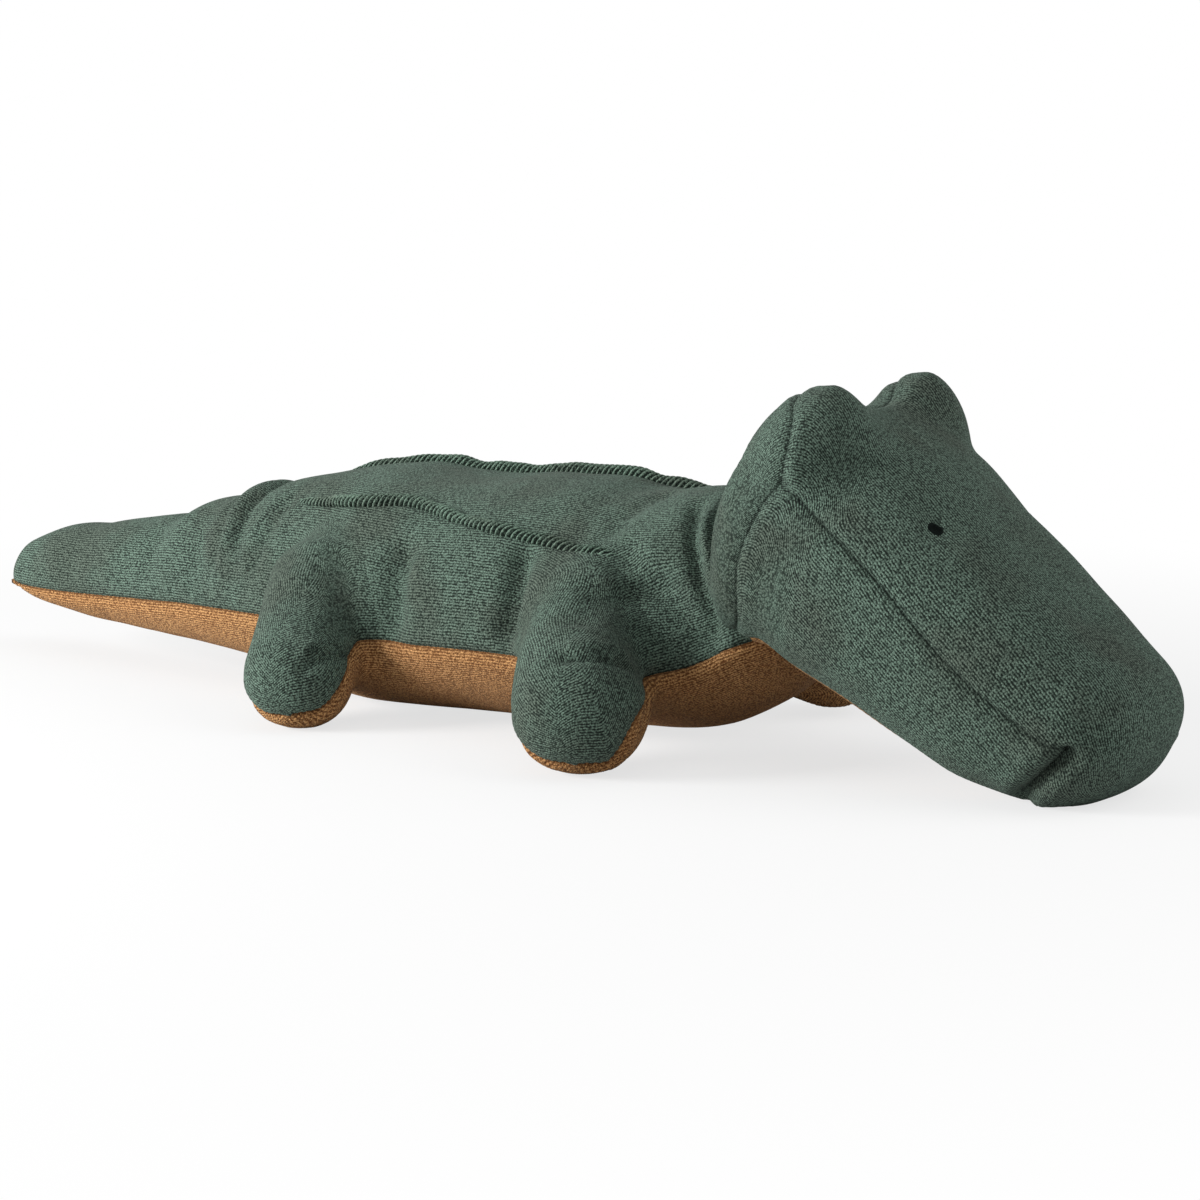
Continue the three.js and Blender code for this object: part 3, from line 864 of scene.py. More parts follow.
FOLDS: tuple[Fold, ...] = (
    Fold(
        -4.4, 3.6, ((127, 14, 104), (140, 38, 91), (147, 45, 81), (151, 48, 72), (156, 48, 60), (162, 46, 44))
    ),
    Fold(
        2.6, 2.6, ((136, 20, 102), (144, 36, 92), (150, 43, 84), (155, 47, 74), (161, 47, 60), (167, 45, 44))
    ),
    Fold(
        -2.4, 2.4, ((138, 8, 105), (149, 33, 94), (155, 41, 86), (161, 47, 74), (166, 48, 62), (171, 45, 48))
    ),
    Fold(
        -2.4, 6.0, ((101, 46, 88), (99, 40, 92), (98, 30, 98), (100, 20, 102), (104, 8, 106), (106, 0, 107))
    ),
    Fold(
        -5.5, 8.0,
        ((102, 44, 89), (113, 50, 83), (124, 54, 76), (138, 55, 69), (150, 52, 60), (157, 49, 50),
         (160, 46, 40)),
    ),
    Fold(-5.0, 15.0, ((118, 50, 82), (130, 56, 72), (141, 58, 60), (148, 57, 48), (150, 52, 34))),
    Fold(1.8, 5.0, ((112, 40, 92), (122, 45, 87), (132, 47, 82), (140, 48, 76), (150, 48, 64))),
    Fold(2.4, 13.0, ((-50, 50, 80), (-49, 56, 72), (-48, 64, 62), (-46, 76, 52))),
    Fold(-6.8, 8.5, ((-9, 46, 84), (-8, 51, 77), (-7, 54, 70), (-6, 58, 58), (-4, 60, 46), (-3, 62, 34))),
    Fold(-6.8, 6.5, ((61, 44, 87), (61, 50, 80), (62, 56, 69), (63, 60, 60), (62, 61, 52), (60, 62, 38))),
    Fold(-2.4, 2.4, ((-26, 98, 24), (-20, 92, 30), (-15, 84, 33), (-13, 76, 33), (-12, 66, 34))),
    Fold(1.2, 3.0, ((-26, 96, 31), (-20, 89, 37), (-15, 80, 39), (-12, 70, 39))),
    Fold(-3.4, 2.8, ((118, 102, 46), (130, 94, 47), (134, 89, 46), (137, 83, 45), (143, 72, 43))),
    Fold(1.6, 4.0, ((120, 98, 54), (130, 90, 54), (136, 82, 51), (142, 72, 48))),
    Fold(-3.4, 10.0, ((110, 58, 76), (113, 68, 67), (116, 76, 60), (120, 84, 54))),
    Fold(-3.0, 2.8, ((139, 80, 20), (141, 66, 32), (141, 60, 37), (142, 48, 43))),
    Fold(-2.0, 3.2, ((-147, 2, 89), (-143, 14, 83), (-138, 27, 71), (-140, 32, 58), (-142, 33, 50))),
    Fold(
        -2.6, 3.0,
        ((-128, -12, 93), (-126, 0, 94), (-124, 10, 92), (-125, 20, 83), (-125, 30, 70), (-124, 36, 58)),
    ),
    Fold(1.5, 4.0, ((-136, -12, 92), (-134, 0, 92), (-133, 20, 81), (-132, 31, 68), (-134, 35, 52))),
    Fold(-1.8, 3.6, ((-98, 20, 96), (-103, 28, 84), (-108, 37, 66), (-111, 39, 50))),
    Fold(1.0, 4.0, ((-106, 16, 96), (-112, 26, 84), (-116, 36, 66), (-119, 38, 52))),
)


# Tail, body and neck


@dataclass
class Trunk:
    """Tail, body and neck, stuffed as one long tube.

    At each place along it the outline is two half superellipses that meet at the side seam: the upper one
    reaches the top and the lower one reaches the bottom, and both are as wide as the tube.
    Each lump is given by its place along the tube, its width and its height, and lies slanting by some
    millimetres for each degree round the tube.
    """

    half_width: Curve = Curve(
        ((-321.5, 9), (-312, 13.5), (-280, 20.5), (-220, 28), (-160, 35), (-115, 40), (-78, 44), (-40, 56),
         (0, 61), (45, 62), (90, 62), (130, 56), (158, 48), (182, 44))
    )
    top: Curve = Curve(
        ((-321.5, 45), (-312, 50.5), (-290, 58.5), (-272, 63), (-245, 67.5), (-221, 70), (-193, 75.5),
         (-165, 82.5), (-150, 88), (-138, 91), (-128, 92), (-112, 96), (-95, 99), (-80, 102), (-60, 104.5),
         (-42, 106), (-19, 105), (0, 105), (38, 106.5), (67, 106), (88, 103.5), (105, 105), (130, 107),
         (158, 105), (182, 101))
    )
    bottom: Curve = Curve(
        ((-321.5, 32), (-312, 29.5), (-301, 26), (-285, 22.3), (-265, 19), (-235, 15.5), (-203, 14),
         (-173, 12.5), (-145, 11), (-115, 8), (-78, 3), (-55, 0), (-20, 0.2), (10, 1), (34, 1.8), (70, 2.5),
         (107, 4), (133, 9), (158, 20), (182, 34))
    )
    seam: Curve = Curve(
        ((-321.5, 34), (-316, 32), (-305, 31.4), (-280, 31.8), (-250, 32.6), (-220, 33.8), (-190, 35.2),
         (-160, 36.4), (-78, 37), (0, 37), (45, 38), (70, 38), (100, 36.5), (125, 35), (138, 36.5), (150, 41),
         (160, 46), (170, 51), (182, 56))
    )
    right_tuck: Curve = Curve(
        ((-97, 26.5), (-85, 29.2), (-70, 31.6), (-60, 33.2), (-50, 35.1), (-40, 35.9), (-30, 35.2),
         (-20, 34.2), (-10, 34.8), (0, 36.8), (10, 38.8), (20, 41), (30, 42.7), (45, 44.7), (60, 45.6),
         (75, 46.9), (90, 48), (100, 47.4), (108, 46))
    )
    left_tuck: Curve = Curve(
        ((-97, 6), (-80, 8), (-60, 9.5), (-40, 10.5), (-10, 11.5), (20, 11.5), (50, 12), (80, 13), (108, 16))
    )
    lean: Curve = Curve(((-130, 0), (-70, 5), (-20, 8), (90, 8), (140, 0)))
    lower_roundness: Curve = Curve(
        ((-110, 2.0), (-60, 2.6), (-30, 2.5), (0, 2.1), (30, 1.85), (70, 1.7), (110, 1.6), (150, 1.6))
    )
    tip_cap: float = 17.0
    chest_cap: float = 26.0
    upper_roundness: float = 2.35
    flank_lumps: tuple[Triple, ...] = (
        (-28, 8, 0.6), (9, 9, 1.6), (27, 13, 1.6), (77, 9, 1.8), (-74, 14, -1.2)
    )
    flank_slant: float = 0.1
    flank_span: tuple[Pair, Pair] = ((40.0, 62.0), (86.0, 100.0))
    flank_middle: float = 70.0
    tail_lumps: tuple[Triple, ...] = (
        (-154, 7, -1.5), (-171, 9, 1.4), (-190, 8, -1.9), (-222, 12, 1.0), (-252, 11, -1.0), (-134, 7, 1.2)
    )
    tail_slant: float = 0.06
    tail_span: Pair = (64.0, 88.0)
    tail_middle: float = 45.0
    tail_wobble: tuple[Triple, ...] = ((4.0, 26.0, 12),)
    waves: tuple[Triple, ...] = ((1.0, 46.0, 3), (0.5, 21.0, 5))
    fill: float = 0.8
    tail_end: float = -72.0
    neck_start: float = 138.0
    tuck_start: float = -97.0
    tuck_end: float = 110.0
    tuck_rise: Pair = (-103.0, -63.0)
    tuck_fade: Pair = (98.0, 116.0)
    tuck_bells: tuple[Triple, ...] = ((0.8, 0.0, 6.0), (-1.0, 0.0, 2.2), (0.4, 10.0, 5.0))
    tail_step: float = 1.15
    body_step: float = 1.05
    cap_rows: int = 14
    back_cells: int = 70
    flank_cells: int = 62
    belly_cells: int = 104
    green_seam: SeamStyle = SeamStyle()
    tan_seam: SeamStyle = SeamStyle(pitch=2.8, pucker=0.5, reach=7.0, slant=1.5)
    tail_carrier: Carrier = Carrier("body", "tail", (-0.080, 0.0, 0.052), (-0.140, 0.0, 0.052))
    neck_carrier: Carrier = Carrier("body", "neck", (0.140, 0.0, 0.080), (0.160, 0.0, 0.080))

    @property
    def tip(self) -> float:
        """Place of the tail's tip."""
        return self.half_width.points[0][0]

    @property
    def front(self) -> float:
        """Place of the neck's hidden front end."""
        return self.half_width.points[-1][0]

    def sizes(self, place: Array) -> tuple[Array, Array, Array, Array, Array]:
        """Half width, rise, drop, seam height and lower roundness, drawn in like an ellipse at both ends.

        Args:
            place: places along X in millimetres.
        Returns:
            Half width, height of the top over the seam, depth of the bottom under it, the seam's height and
            the power of the lower half's outline.
        """
        tip = np.clip((self.tip + self.tip_cap - place) / self.tip_cap, 0.0, 1.0)
        chest = np.clip((place - self.front + self.chest_cap) / self.chest_cap, 0.0, 1.0)
        draw = np.sqrt(np.maximum(1.0 - tip**2, 1e-6)) * np.sqrt(np.maximum(1.0 - chest**2, 1e-6))
        seam = self.seam(place)
        rise, drop = (self.top(place) - seam) * draw, (seam - self.bottom(place)) * draw
        return self.half_width(place) * draw, rise, drop, seam, self.lower_roundness(place)

    def radius(self, sine: Array, cosine: Array, sizes: tuple[Array, ...]) -> Array:
        """Distance from the seam's middle to the outline in the direction with that sine and cosine."""
        width, rise, drop, _, low_power = sizes
        upper = cosine >= 0
        power = np.where(upper, self.upper_roundness, low_power)
        return superellipse(sine, cosine, width, np.where(upper, rise, drop), power)

    def surface(self, place: Array, angle: Array) -> Array:
        """Points of the bare form at places along X and angles in degrees from the top."""
        place, angle = np.broadcast_arrays(place, angle)
        sine, cosine = np.sin(np.radians(angle)), np.cos(np.radians(angle))
        sizes = self.sizes(place)
        reach = self.radius(sine, cosine, sizes)
        height = sizes[3] + reach * cosine
        return np.stack([place, reach * sine + self.slump(place, height, sizes), height], axis=-1)

    def slump(self, place: Array, height: Array, sizes: tuple[Array, ...]) -> Array:
        """How far the upper half leans to the left: by the square of the share of its height."""
        return self.lean(place) * np.clip((height - sizes[3]) / np.maximum(sizes[1], 1.0), 0.0, 1.0) ** 2

    def distance(self, points: Array) -> Array:
        """Distance from points to the outline, measured from the seam's middle and negative inside."""
        sizes = self.sizes(points[..., 0])
        rise = points[..., 2] - sizes[3]
        across = points[..., 1] - self.slump(points[..., 0], points[..., 2], sizes)
        length = np.maximum(np.hypot(across, rise), 1e-6)
        return length - self.radius(across / length, rise / length, sizes)

    def angles(self, points: Array) -> Array:
        """Angle of each point from the top, from 0 to 180 degrees on either side."""
        rise = points[..., 2] - self.seam(points[..., 0])
        return np.degrees(np.arctan2(np.abs(points[..., 1]), rise))

    def lumps(self, points: Array) -> Array:
        """Height of the stuffing's soft lumps and hollows, from the place of a point alone."""
        place, angle = points[..., 0], self.angles(points)
        height = stuffing(points, self.waves)
        side = smoothstep(*self.flank_span[0], angle) * fade(*self.flank_span[1], angle)
        slant = self.flank_slant * (angle - self.flank_middle)
        for middle, width, rise in self.flank_lumps:
            height += rise * bell(place - middle - slant, width) * side
        return height + self.tail_waves(place, angle, points)

    def tail_waves(self, place: Array, angle: Array, points: Array) -> Array:
        """Slow waves along the tail, and a bump where the tail's top meets the back."""
        wobble = stuffing(points, self.tail_wobble)
        slant = self.tail_slant * (angle - self.tail_middle)
        total = np.zeros_like(place)
        for middle, width, rise in self.tail_lumps:
            total += rise * bell(place - middle + wobble + slant, width)
        return total * fade(*self.tail_span, angle)

    @staticmethod
    def creases(points: Array, outward: Array) -> Array:
        """Height of all the sharper folds of the body, the neck, the legs and the root of the tail."""
        return sum(fold.relief(points, outward) for fold in FOLDS)

    def seam_relief(self, points: Array, along: Array) -> Array:
        """Height of the cloth beside the side seam, whose distance is the height over or under it."""
        rise = points[..., 2] - self.seam(points[..., 0])
        upper, under = (style.relief(np.abs(rise), along) for style in (self.green_seam, self.tan_seam))
        return np.where(rise < 0, under, upper)

    def tuck_shape(self, skin: Skin, lines: tuple[int, int]) -> Array:
        """Valley and pillows of the back beside the two sewn tucks, each a height, a distance and a width.

        Args:
            skin: the trunk's skin.
            lines: the columns that the tucks run on.
        Returns:
            Heights in millimetres.
        """
        place = skin.base[..., 0]
        presence = smoothstep(*self.tuck_rise, place) * fade(*self.tuck_fade, place)
        gap = skin.across_from(*lines)
        return presence * sum(height * bell(gap - apart, width) for height, apart, width in self.tuck_bells)

    def rows(self) -> Array:
        """Places of the rows, with one at each end of the body and closer ones at the caps."""
        turn = np.linspace(0.0, np.pi / 2, self.cap_rows + 1)
        tip_edge, chest_edge = self.tip + self.tip_cap, self.front - self.chest_cap
        spans = [
            np.linspace(start, end, round((end - start) / step))[1:]
            for start, end, step in (
                (tip_edge, self.tail_end, self.tail_step),
                (self.tail_end, self.neck_start, self.body_step),
                (self.neck_start, chest_edge, self.body_step),
            )
        ]
        tip = self.tip + self.tip_cap * (1.0 - np.cos(turn))
        return np.concatenate([tip, *spans, chest_edge + self.chest_cap * np.sin(turn)[1:]])

    def build(self, dresser: Dresser) -> None:
        """Makes the tail's, the body's and the neck's panels."""
        place = self.rows()
        right, left = self.right_tuck(place), self.left_tuck(place)
        quarter = np.full_like(place, QUARTER_TURN)
        lines = [-right, left, quarter, FULL_TURN - quarter, FULL_TURN - right]
        cells = [self.back_cells, self.flank_cells, self.belly_cells, self.flank_cells]
        angle = ring(lines, cells)
        skin = Skin(self.surface(place[:, None], angle), first_pole=True, last_pole=True)
        edges = np.cumsum([0, *cells])
        seam_gap = skin.across_from(int(edges[2]), int(edges[3]))
        under = (angle > QUARTER_TURN) & (angle < FULL_TURN - QUARTER_TURN)
        along = skin.along()
        tip_fade = smoothstep(self.tip, self.tip + self.tip_cap, skin.base[..., 0])
        relief = self.lumps(skin.base) + self.creases(skin.base, skin.outward)
        relief = (relief + self.seam_relief(skin.base, skin.base[..., 0])) * tip_fade
        skin.raise_by(relief + self.tuck_shape(skin, (0, int(edges[1]))))
        weave = np.stack([along, np.where(under, seam_gap, -seam_gap)], axis=-1)
        stitch = np.stack([seam_gap, skin.base[..., 0]], axis=-1)
        self.cut(Mesher(skin, weave, stitch), place, edges, dresser)
        for side in Side:
            Tuck(self, skin, side, 0 if side is Side.RIGHT else int(edges[1]), place).build(dresser)

    def cut(self, mesher: Mesher, place: Array, edges: Array, dresser: Dresser) -> None:
        """Cuts the panels from the skin by rows and by the columns of the seams.

        Args:
            mesher: holds the finished skin and its maps.
            place: the places of its rows.
            edges: the columns at the tucks and side seams.
            dresser: finishes the pieces.
        """
        middle = (place[:-1] + place[1:]) / 2
        back, left, under, right = bands(edges)
        tail, neck = middle < self.tail_end, middle > self.neck_start
        body = ~tail & ~neck
        torso = Carrier("body")
        panels = (
            ("tail_upper", tail, ~under, self.tail_carrier, ["tail_upper_panel", "tail_filling"]),
            ("tail_under", tail, under, self.tail_carrier, ["tail_under_panel"]),
            ("back", body, back, torso, ["back_panel"]),
            ("left_flank", body, left, torso, ["left_flank_panel"]),
            ("right_flank", body, right, torso, ["right_flank_panel"]),
            ("belly", body, under, torso, ["belly_panel", "body_filling"]),
            ("neck_upper", neck, ~under, self.neck_carrier, ["neck_cover"]),
            ("neck_under", neck, under, self.neck_carrier, ["neck_filling"]),
        )
        for name, rows, columns, carrier, nodes in panels:
            cloth = Cloth.TAN if columns is under else Cloth.GREEN
            dresser.dress(mesher.build(name, rows[:, None] & columns), cloth, carrier, nodes)


@dataclass
class Tuck:
    """Roll of cloth that stands up along a sewn tuck of the back, ribbed like a rope by the pulled rows."""

    trunk: Trunk
    skin: Skin
    side: Side
    column: int
    place: Array
    half_width: float = 2.3
    height: float = 2.4
    sink: float = 0.3
    rib_pitch: float = 2.9
    rib_depth: float = 0.2
    rib_turns: int = 4
    rib_start: Pair = (0.5, 50.0)
    size_start: Pair = (0.72, 40.0)
    swell: tuple[Triple, ...] = ((0.16, 11.0, 21),)
    wander: tuple[Triple, ...] = ((0.5, 17.0, 30),)
    row_apart: float = 90.0
    fill: float = 0.4
    steps: int = 760
    corners: int = 36
    taper: float = 12.0
    spread: int = 5

    def build(self, dresser: Dresser) -> None:
        """Sweeps an oval along the tuck and dresses it.

        The oval's size swells and shrinks by a cosine of the length along the roll plus a share of the angle
        round it, so the ribs run slanting, and by slow noise. Both ends draw in to a point.
        A second slow noise lets its top wander sideways.
        """
        inside = (self.place >= self.trunk.tuck_start) & (self.place <= self.trunk.tuck_end)
        parts = (self.skin.points, self.skin.outward)
        line, outward = (self.even(part[inside, self.column]) for part in parts)
        length = lengths(line)
        at = np.linspace(0.0, length[-1], self.steps)
        middle, up = (
            np.stack([np.interp(at, length, part[:, axis]) for axis in range(3)], axis=-1)
            for part in (line, outward)
        )
        up = unit(up)
        across = unit(np.cross(np.gradient(middle, axis=0), up))
        ends = np.minimum(at, length[-1] - at)
        draw = np.sqrt(np.clip(ends / self.taper, 0.0, 1.0)) * self.grow(at, *self.size_start)
        turn = np.linspace(0.0, 2 * np.pi, self.corners + 1)
        own_row = middle * (1.0, 0.0, 0.0) + self.side.direction * self.row_apart
        uneven = 1.0 + stuffing(own_row, self.swell)
        phase = 2 * np.pi * at[:, None] / self.rib_pitch + self.rib_turns * turn[None, :]
        rib = 1.0 + self.rib_depth * np.cos(phase) * self.grow(at, *self.rib_start)[:, None]
        size = (draw * uneven)[:, None] * rib
        lift = self.height * (np.cos(turn) + 1.0 - self.sink)
        lean = stuffing(middle, self.wander)[:, None] * draw[:, None]
        sideways = self.half_width * np.sin(turn) * size + lean * (1 + np.cos(turn)) / 2
        points = middle[:, None] + up[:, None] * (lift[None, :] * size)[..., None]
        points = points + across[:, None] * sideways[..., None]
        skin = Skin(points, first_pole=True, last_pole=True)
        round_ = np.broadcast_to(turn * self.half_width, phase.shape)
        # The weave's rows line up with the ribs, so the rolled cloth's painted shade falls in the grooves
        # between them.
        weave = np.stack([round_, (phase / (2 * np.pi) + 0.25) * self.rib_pitch], axis=-1)
        stitch = np.stack([np.full_like(round_, NO_SEAM), round_], axis=-1)
        cells = np.ones((self.steps - 1, self.corners), bool)
        piece = Mesher(skin, weave, stitch, 0.0).build(f"{self.side.word}_back_roll", cells)
        nodes = [f"{self.side.word}_back_tuck"]
        dresser.dress(piece, Cloth.ROLLED, self.trunk.tail_carrier, nodes)

    @staticmethod
    def grow(at: Array, start: float, reach: float) -> Array:
        """Rises to 1 over a reach, from a smaller start at the roll's rear end."""
        return start + (1.0 - start) * smoothstep(0.0, reach, at)

    def even(self, line: Array) -> Array:
        """Line whose points are each the mean of their neighbours, so that it bridges narrow folds."""
        count = self.spread
        padded = np.concatenate([line[:1].repeat(count, axis=0), line, line[-1:].repeat(count, axis=0)])
        total = np.cumsum(np.concatenate([np.zeros((1, 3)), padded]), axis=0)
        return (total[2 * count + 1 :] - total[: -2 * count - 1]) / (2 * count + 1)


# Head


@dataclass
class Head:
    """Head with its snout: sections that tip forwards along a middle line, and two brows that stand up."""

    line: Curve = Curve(
        ((150, 78), (158, 79), (168, 84), (184, 86), (208, 77), (240, 61), (275, 43), (300, 30.5), (315, 24),
         (326.5, 19.5))
    )
    pitch: Curve = Curve(
        ((150, 0), (158, 0), (168, 8), (184, 18), (208, 24), (240, 27), (275, 28), (300, 27), (328, 24))
    )
    half_width: Curve = Curve(
        ((150, 38), (158, 50), (168, 57), (184, 59), (208, 59), (240, 56), (275, 51), (300, 45), (328, 39))
    )
    rise: Curve = Curve(
        ((150, 22), (158, 43), (168, 56), (184, 60), (208, 56), (240, 46), (275, 37), (300, 30), (328, 22))
    )
    drop: Curve = Curve(
        ((150, 18), (158, 28), (168, 35), (184, 41), (208, 42), (240, 41), (275, 41), (300, 35), (328, 27.5))
    )
    gusset_seam: Curve = Curve(
        ((0, 199), (15, 197), (26, 191), (35, 193), (42, 198), (50, 200), (58, 197), (66, 188.5), (74, 184),
         (82, 179.5), (90, 176.5), (104, 175.5), (115, 172.5), (126, 165), (180, 160))
    )
    snout_seam: Curve = Curve(
        ((180, 120), (196, 115.5), (220, 99), (243, 80), (267, 56), (291, 37), (305, 28), (330, 18))
    )
    chin_width: Curve = Curve(
        ((150, 34), (168, 40), (186, 41), (202, 40), (218, 39), (232, 37), (251, 33), (269, 28), (282, 20),
         (291, 9), (295, 0))
    )
    nose_cap: float = 26.0
    nose_roundness: float = 2.5
    roundness: float = 2.7
    brow_place: Triple = (204.5, 33.5, 129.0)
    brow_size: Triple = (19.0, 28.0, 25.5)
    brow_rear: float = 36.0
    brow_powers: Triple = (1.5, 1.6, 1.6)
    brow_rear_power: float = 1.85
    brow_tilt: Pair = (1.0, 20.0)
    brow_left: float = 0.84
    left_span: Pair = (-6.0, 10.0)
    brow_fillet: float = 8.0
    snout_ends: Pair = (35.0, 135.0)
    chin_ends: Pair = (100.0, 179.5)
    gusset_ends: Pair = (152.0, 215.0)
    pinch_top: float = 313.5
    pinch_bottom: float = 300.0
    pinch_span: Pair = (85.0, 150.0)
    pinch_pucker: float = 1.4
    pinch_depth: float = 3.2
    pinch_width: float = 4.0
    pinch_cushion: Triple = (1.0, 10.0, 5.0)
    mouth_depth: float = 2.4
    mouth_place: float = 9.0
    mouth_width: float = 12.0
    far: float = 110.0
    gusset_cells: int = 34
    face_cells: int = 150
    nose_cells: int = 44
    crown_cells: int = 104
    cheek_cells: int = 46
    chin_cells: int = 60
    seam_style: SeamStyle = SeamStyle(depth=1.2, width=1.8, pucker=0.22)
    waves: tuple[Triple, ...] = ((0.8, 42.0, 31), (0.4, 19.0, 33))
    fill: float = 0.85
    eyes: Pair = (251.5, 34.0)
    left_eye_shift: float = 3.0
    eye_dimples: tuple[Pair, ...] = ((1.3, 5.0), (0.6, 11.0))
    carrier: Carrier = Carrier("neck", "head", (0.165, 0.0, 0.080), (0.195, 0.0, 0.080))

    @property
    def cells(self) -> list[int]:
        """How many columns of cells the crown, the left cheek, the chin and the right cheek have."""
        return [self.crown_cells, self.cheek_cells, self.chin_cells, self.cheek_cells]

    def section(self, place: Array) -> tuple[Array, Array, Array, Array, Array]:
        """Middle, upward direction, half width, rise and drop of the section at a place on the line."""
        end = self.line.points[-1][0]
        nose = np.clip((place - end + self.nose_cap) / self.nose_cap, 0.0, 1.0)
        draw = np.maximum(1.0 - nose**self.nose_roundness, 1e-4) ** (1.0 / self.nose_roundness)
        slope = np.radians(self.pitch(place))
        middle = np.stack([place, np.zeros_like(place), self.line(place)], axis=-1)
        up = np.stack([np.sin(slope), np.zeros_like(place), np.cos(slope)], axis=-1)
        return middle, up, self.half_width(place) * draw, self.rise(place) * draw, self.drop(place) * draw

    def brow_distance(self, points: Array) -> Array:
        """Distance from points to the nearer brow, a blunt cone with a long round slope behind.

        The shares of the brow's size along each axis, each raised to its own power, sum to 1 on its face. The
        distance is that sum less 1, over the size of its slope. The left brow is narrower than the right one
        and lies a little higher.

        Args:
            points: places in millimetres.
        Returns:
            Distances in millimetres, negative inside.
        """
        local = np.abs(points) * (0.0, 1.0, 0.0) + points * (1.0, 0.0, 1.0) - self.brow_place
        tilt, softness = self.brow_tilt
        local[..., 2] -= tilt * np.tanh(points[..., 1] / softness)
        behind = local[..., :1] < 0
        left = smoothstep(*self.left_span, points[..., 1:2]) * (1.0, 1.0, 0.0)
        size = np.where(behind, (self.brow_rear, *self.brow_size[1:]), self.brow_size)
        size = size * (1.0 - (1.0 - self.brow_left) * left)
        power = np.where(behind, (self.brow_rear_power, *self.brow_powers[1:]), self.brow_powers)
        share = np.maximum(np.abs(local) / size, 1e-6)
        slope = np.linalg.norm(power * share ** (power - 1.0) / size, axis=-1)
        return (np.sum(share**power, axis=-1) - 1.0) / np.maximum(slope, 0.02)

    def surface(self, place: Array, angle: Array) -> Array:
        """Points of the bare head at places along the middle line and angles in degrees from the top.

        Each lies on a ray in its section. Its distance from the middle is where the smooth union of the
        section's superellipse and the brows has the value 0, found by halving.
        """
        place, angle = np.broadcast_arrays(np.asarray(place, float), np.asarray(angle, float))
        middle, up, width, rise, drop = self.section(place)
        sine, cosine = np.sin(np.radians(angle)), np.cos(np.radians(angle))
        reach = superellipse(sine, cosine, width, np.where(cosine >= 0, rise, drop), self.roundness)
        ray = up * cosine[..., None] + Side.LEFT.direction * sine[..., None]

        def inside(length: Array) -> Array:
            """Positive inside the head."""
            points = middle + ray * length[..., None]
            return -smooth_union(length - reach, self.brow_distance(points), self.brow_fillet)

        length = solve(inside, reach * 0.5, np.full_like(reach, self.far))
        return middle + ray * length[..., None]

    def seam_angle(self, place: Array, test: Callable[[Array], Array], ends: Pair) -> Array:
        """Angle at which a test of the surface point changes from positive to negative, for each place."""
        return solve(lambda angle: test(self.surface(place, angle)), *span(place, *ends), rounds=18)

    def snout_angle(self, place: Array) -> Array:
        """Angle of the snout's side seam, which is a line in the side view."""
        return self.seam_angle(place, lambda p: p[..., 2] - self.snout_seam(p[..., 0]), self.snout_ends)

    def chin_angle(self, place: Array) -> Array:
        """Angle of the chin's seam, whose distance from the middle is a line in the view from below."""
        return self.seam_angle(
            place, lambda p: np.abs(p[..., 1]) - self.chin_width(p[..., 0]), self.chin_ends
        )

    def gusset_place(self, angle: Array) -> Array:
        """Place along the middle line of the gusset's front seam, for each angle from the top."""
        wanted, ends = self.gusset_seam(angle), span(angle, *self.gusset_ends)
        return solve(lambda place: wanted - self.surface(place, angle)[..., 0], *ends, rounds=18)

    def grid(self) -> tuple[Array, Array]:
        """Place and angle of each point, with rows on the gusset's seam and the pinch, columns on the others.

        The rows depend on the angle and the columns on the place, so both are worked out in turn, four times.
        A row's level runs from 0 to 1 on the gusset, from 1 to 2 on the face and from 2 to 3 on the nose.
        """
        start, end = self.line.points[0][0], self.line.points[-1][0]
        face = 1.0 + crowd(self.face_cells, 0.35)[1:]
        nose = 2.0 + np.linspace(0, 1, self.nose_cells + 1)[1:]
        level = np.concatenate([crowd(self.gusset_cells), face, nose])[:, None]
        probe = np.linspace(start, end - 0.5, 150)
        snout, chin = self.snout_angle(probe), self.chin_angle(probe)
        turns = np.linspace(0.0, HALF_TURN, 121)
        gusset = self.gusset_place(turns)
        place = np.repeat(start + (end - start) * level / level[-1], sum(self.cells) + 1, axis=1)
        for _ in range(4):
            snout_line, chin_line = np.interp(place, probe, snout), np.interp(place, probe, chin)
            angle = self.columns(np.minimum(snout_line, chin_line), chin_line)
            first = np.interp(from_top(angle), turns, gusset)
            second = self.pinch_place(from_top(angle))
            on_face = first + (second - first) * (level - 1.0)
            on_nose = second + (end - second) * np.sin((level - 2.0) * np.pi / 2)
            past_gusset = np.where(level <= 2.0, on_face, on_nose)
            place = np.where(level <= 1.0, start + (first - start) * level, past_gusset)
        return place, angle

    def pinch_place(self, angle: Array) -> Array:
        """Place of the short seam that closes the cheek in front, further back the lower it is."""
        return self.pinch_top - (self.pinch_top - self.pinch_bottom) * smoothstep(*self.pinch_span, angle)

    def columns(self, snout: Array, chin: Array) -> Array:
        """Angle of each point from the seams' angles there, in four bands that crowd towards the seams."""
        angle = np.empty_like(snout)
        bounds = (-snout, snout, chin, FULL_TURN - chin, FULL_TURN - snout)
        start = 0
        for count, left, right in zip(self.cells, bounds[:-1], bounds[1:]):
            part = slice(start, start + count + 1)
            low, high = left[:, part], right[:, part]
            angle[:, part] = low + (high - low) * crowd(count)
            start += count
        return angle

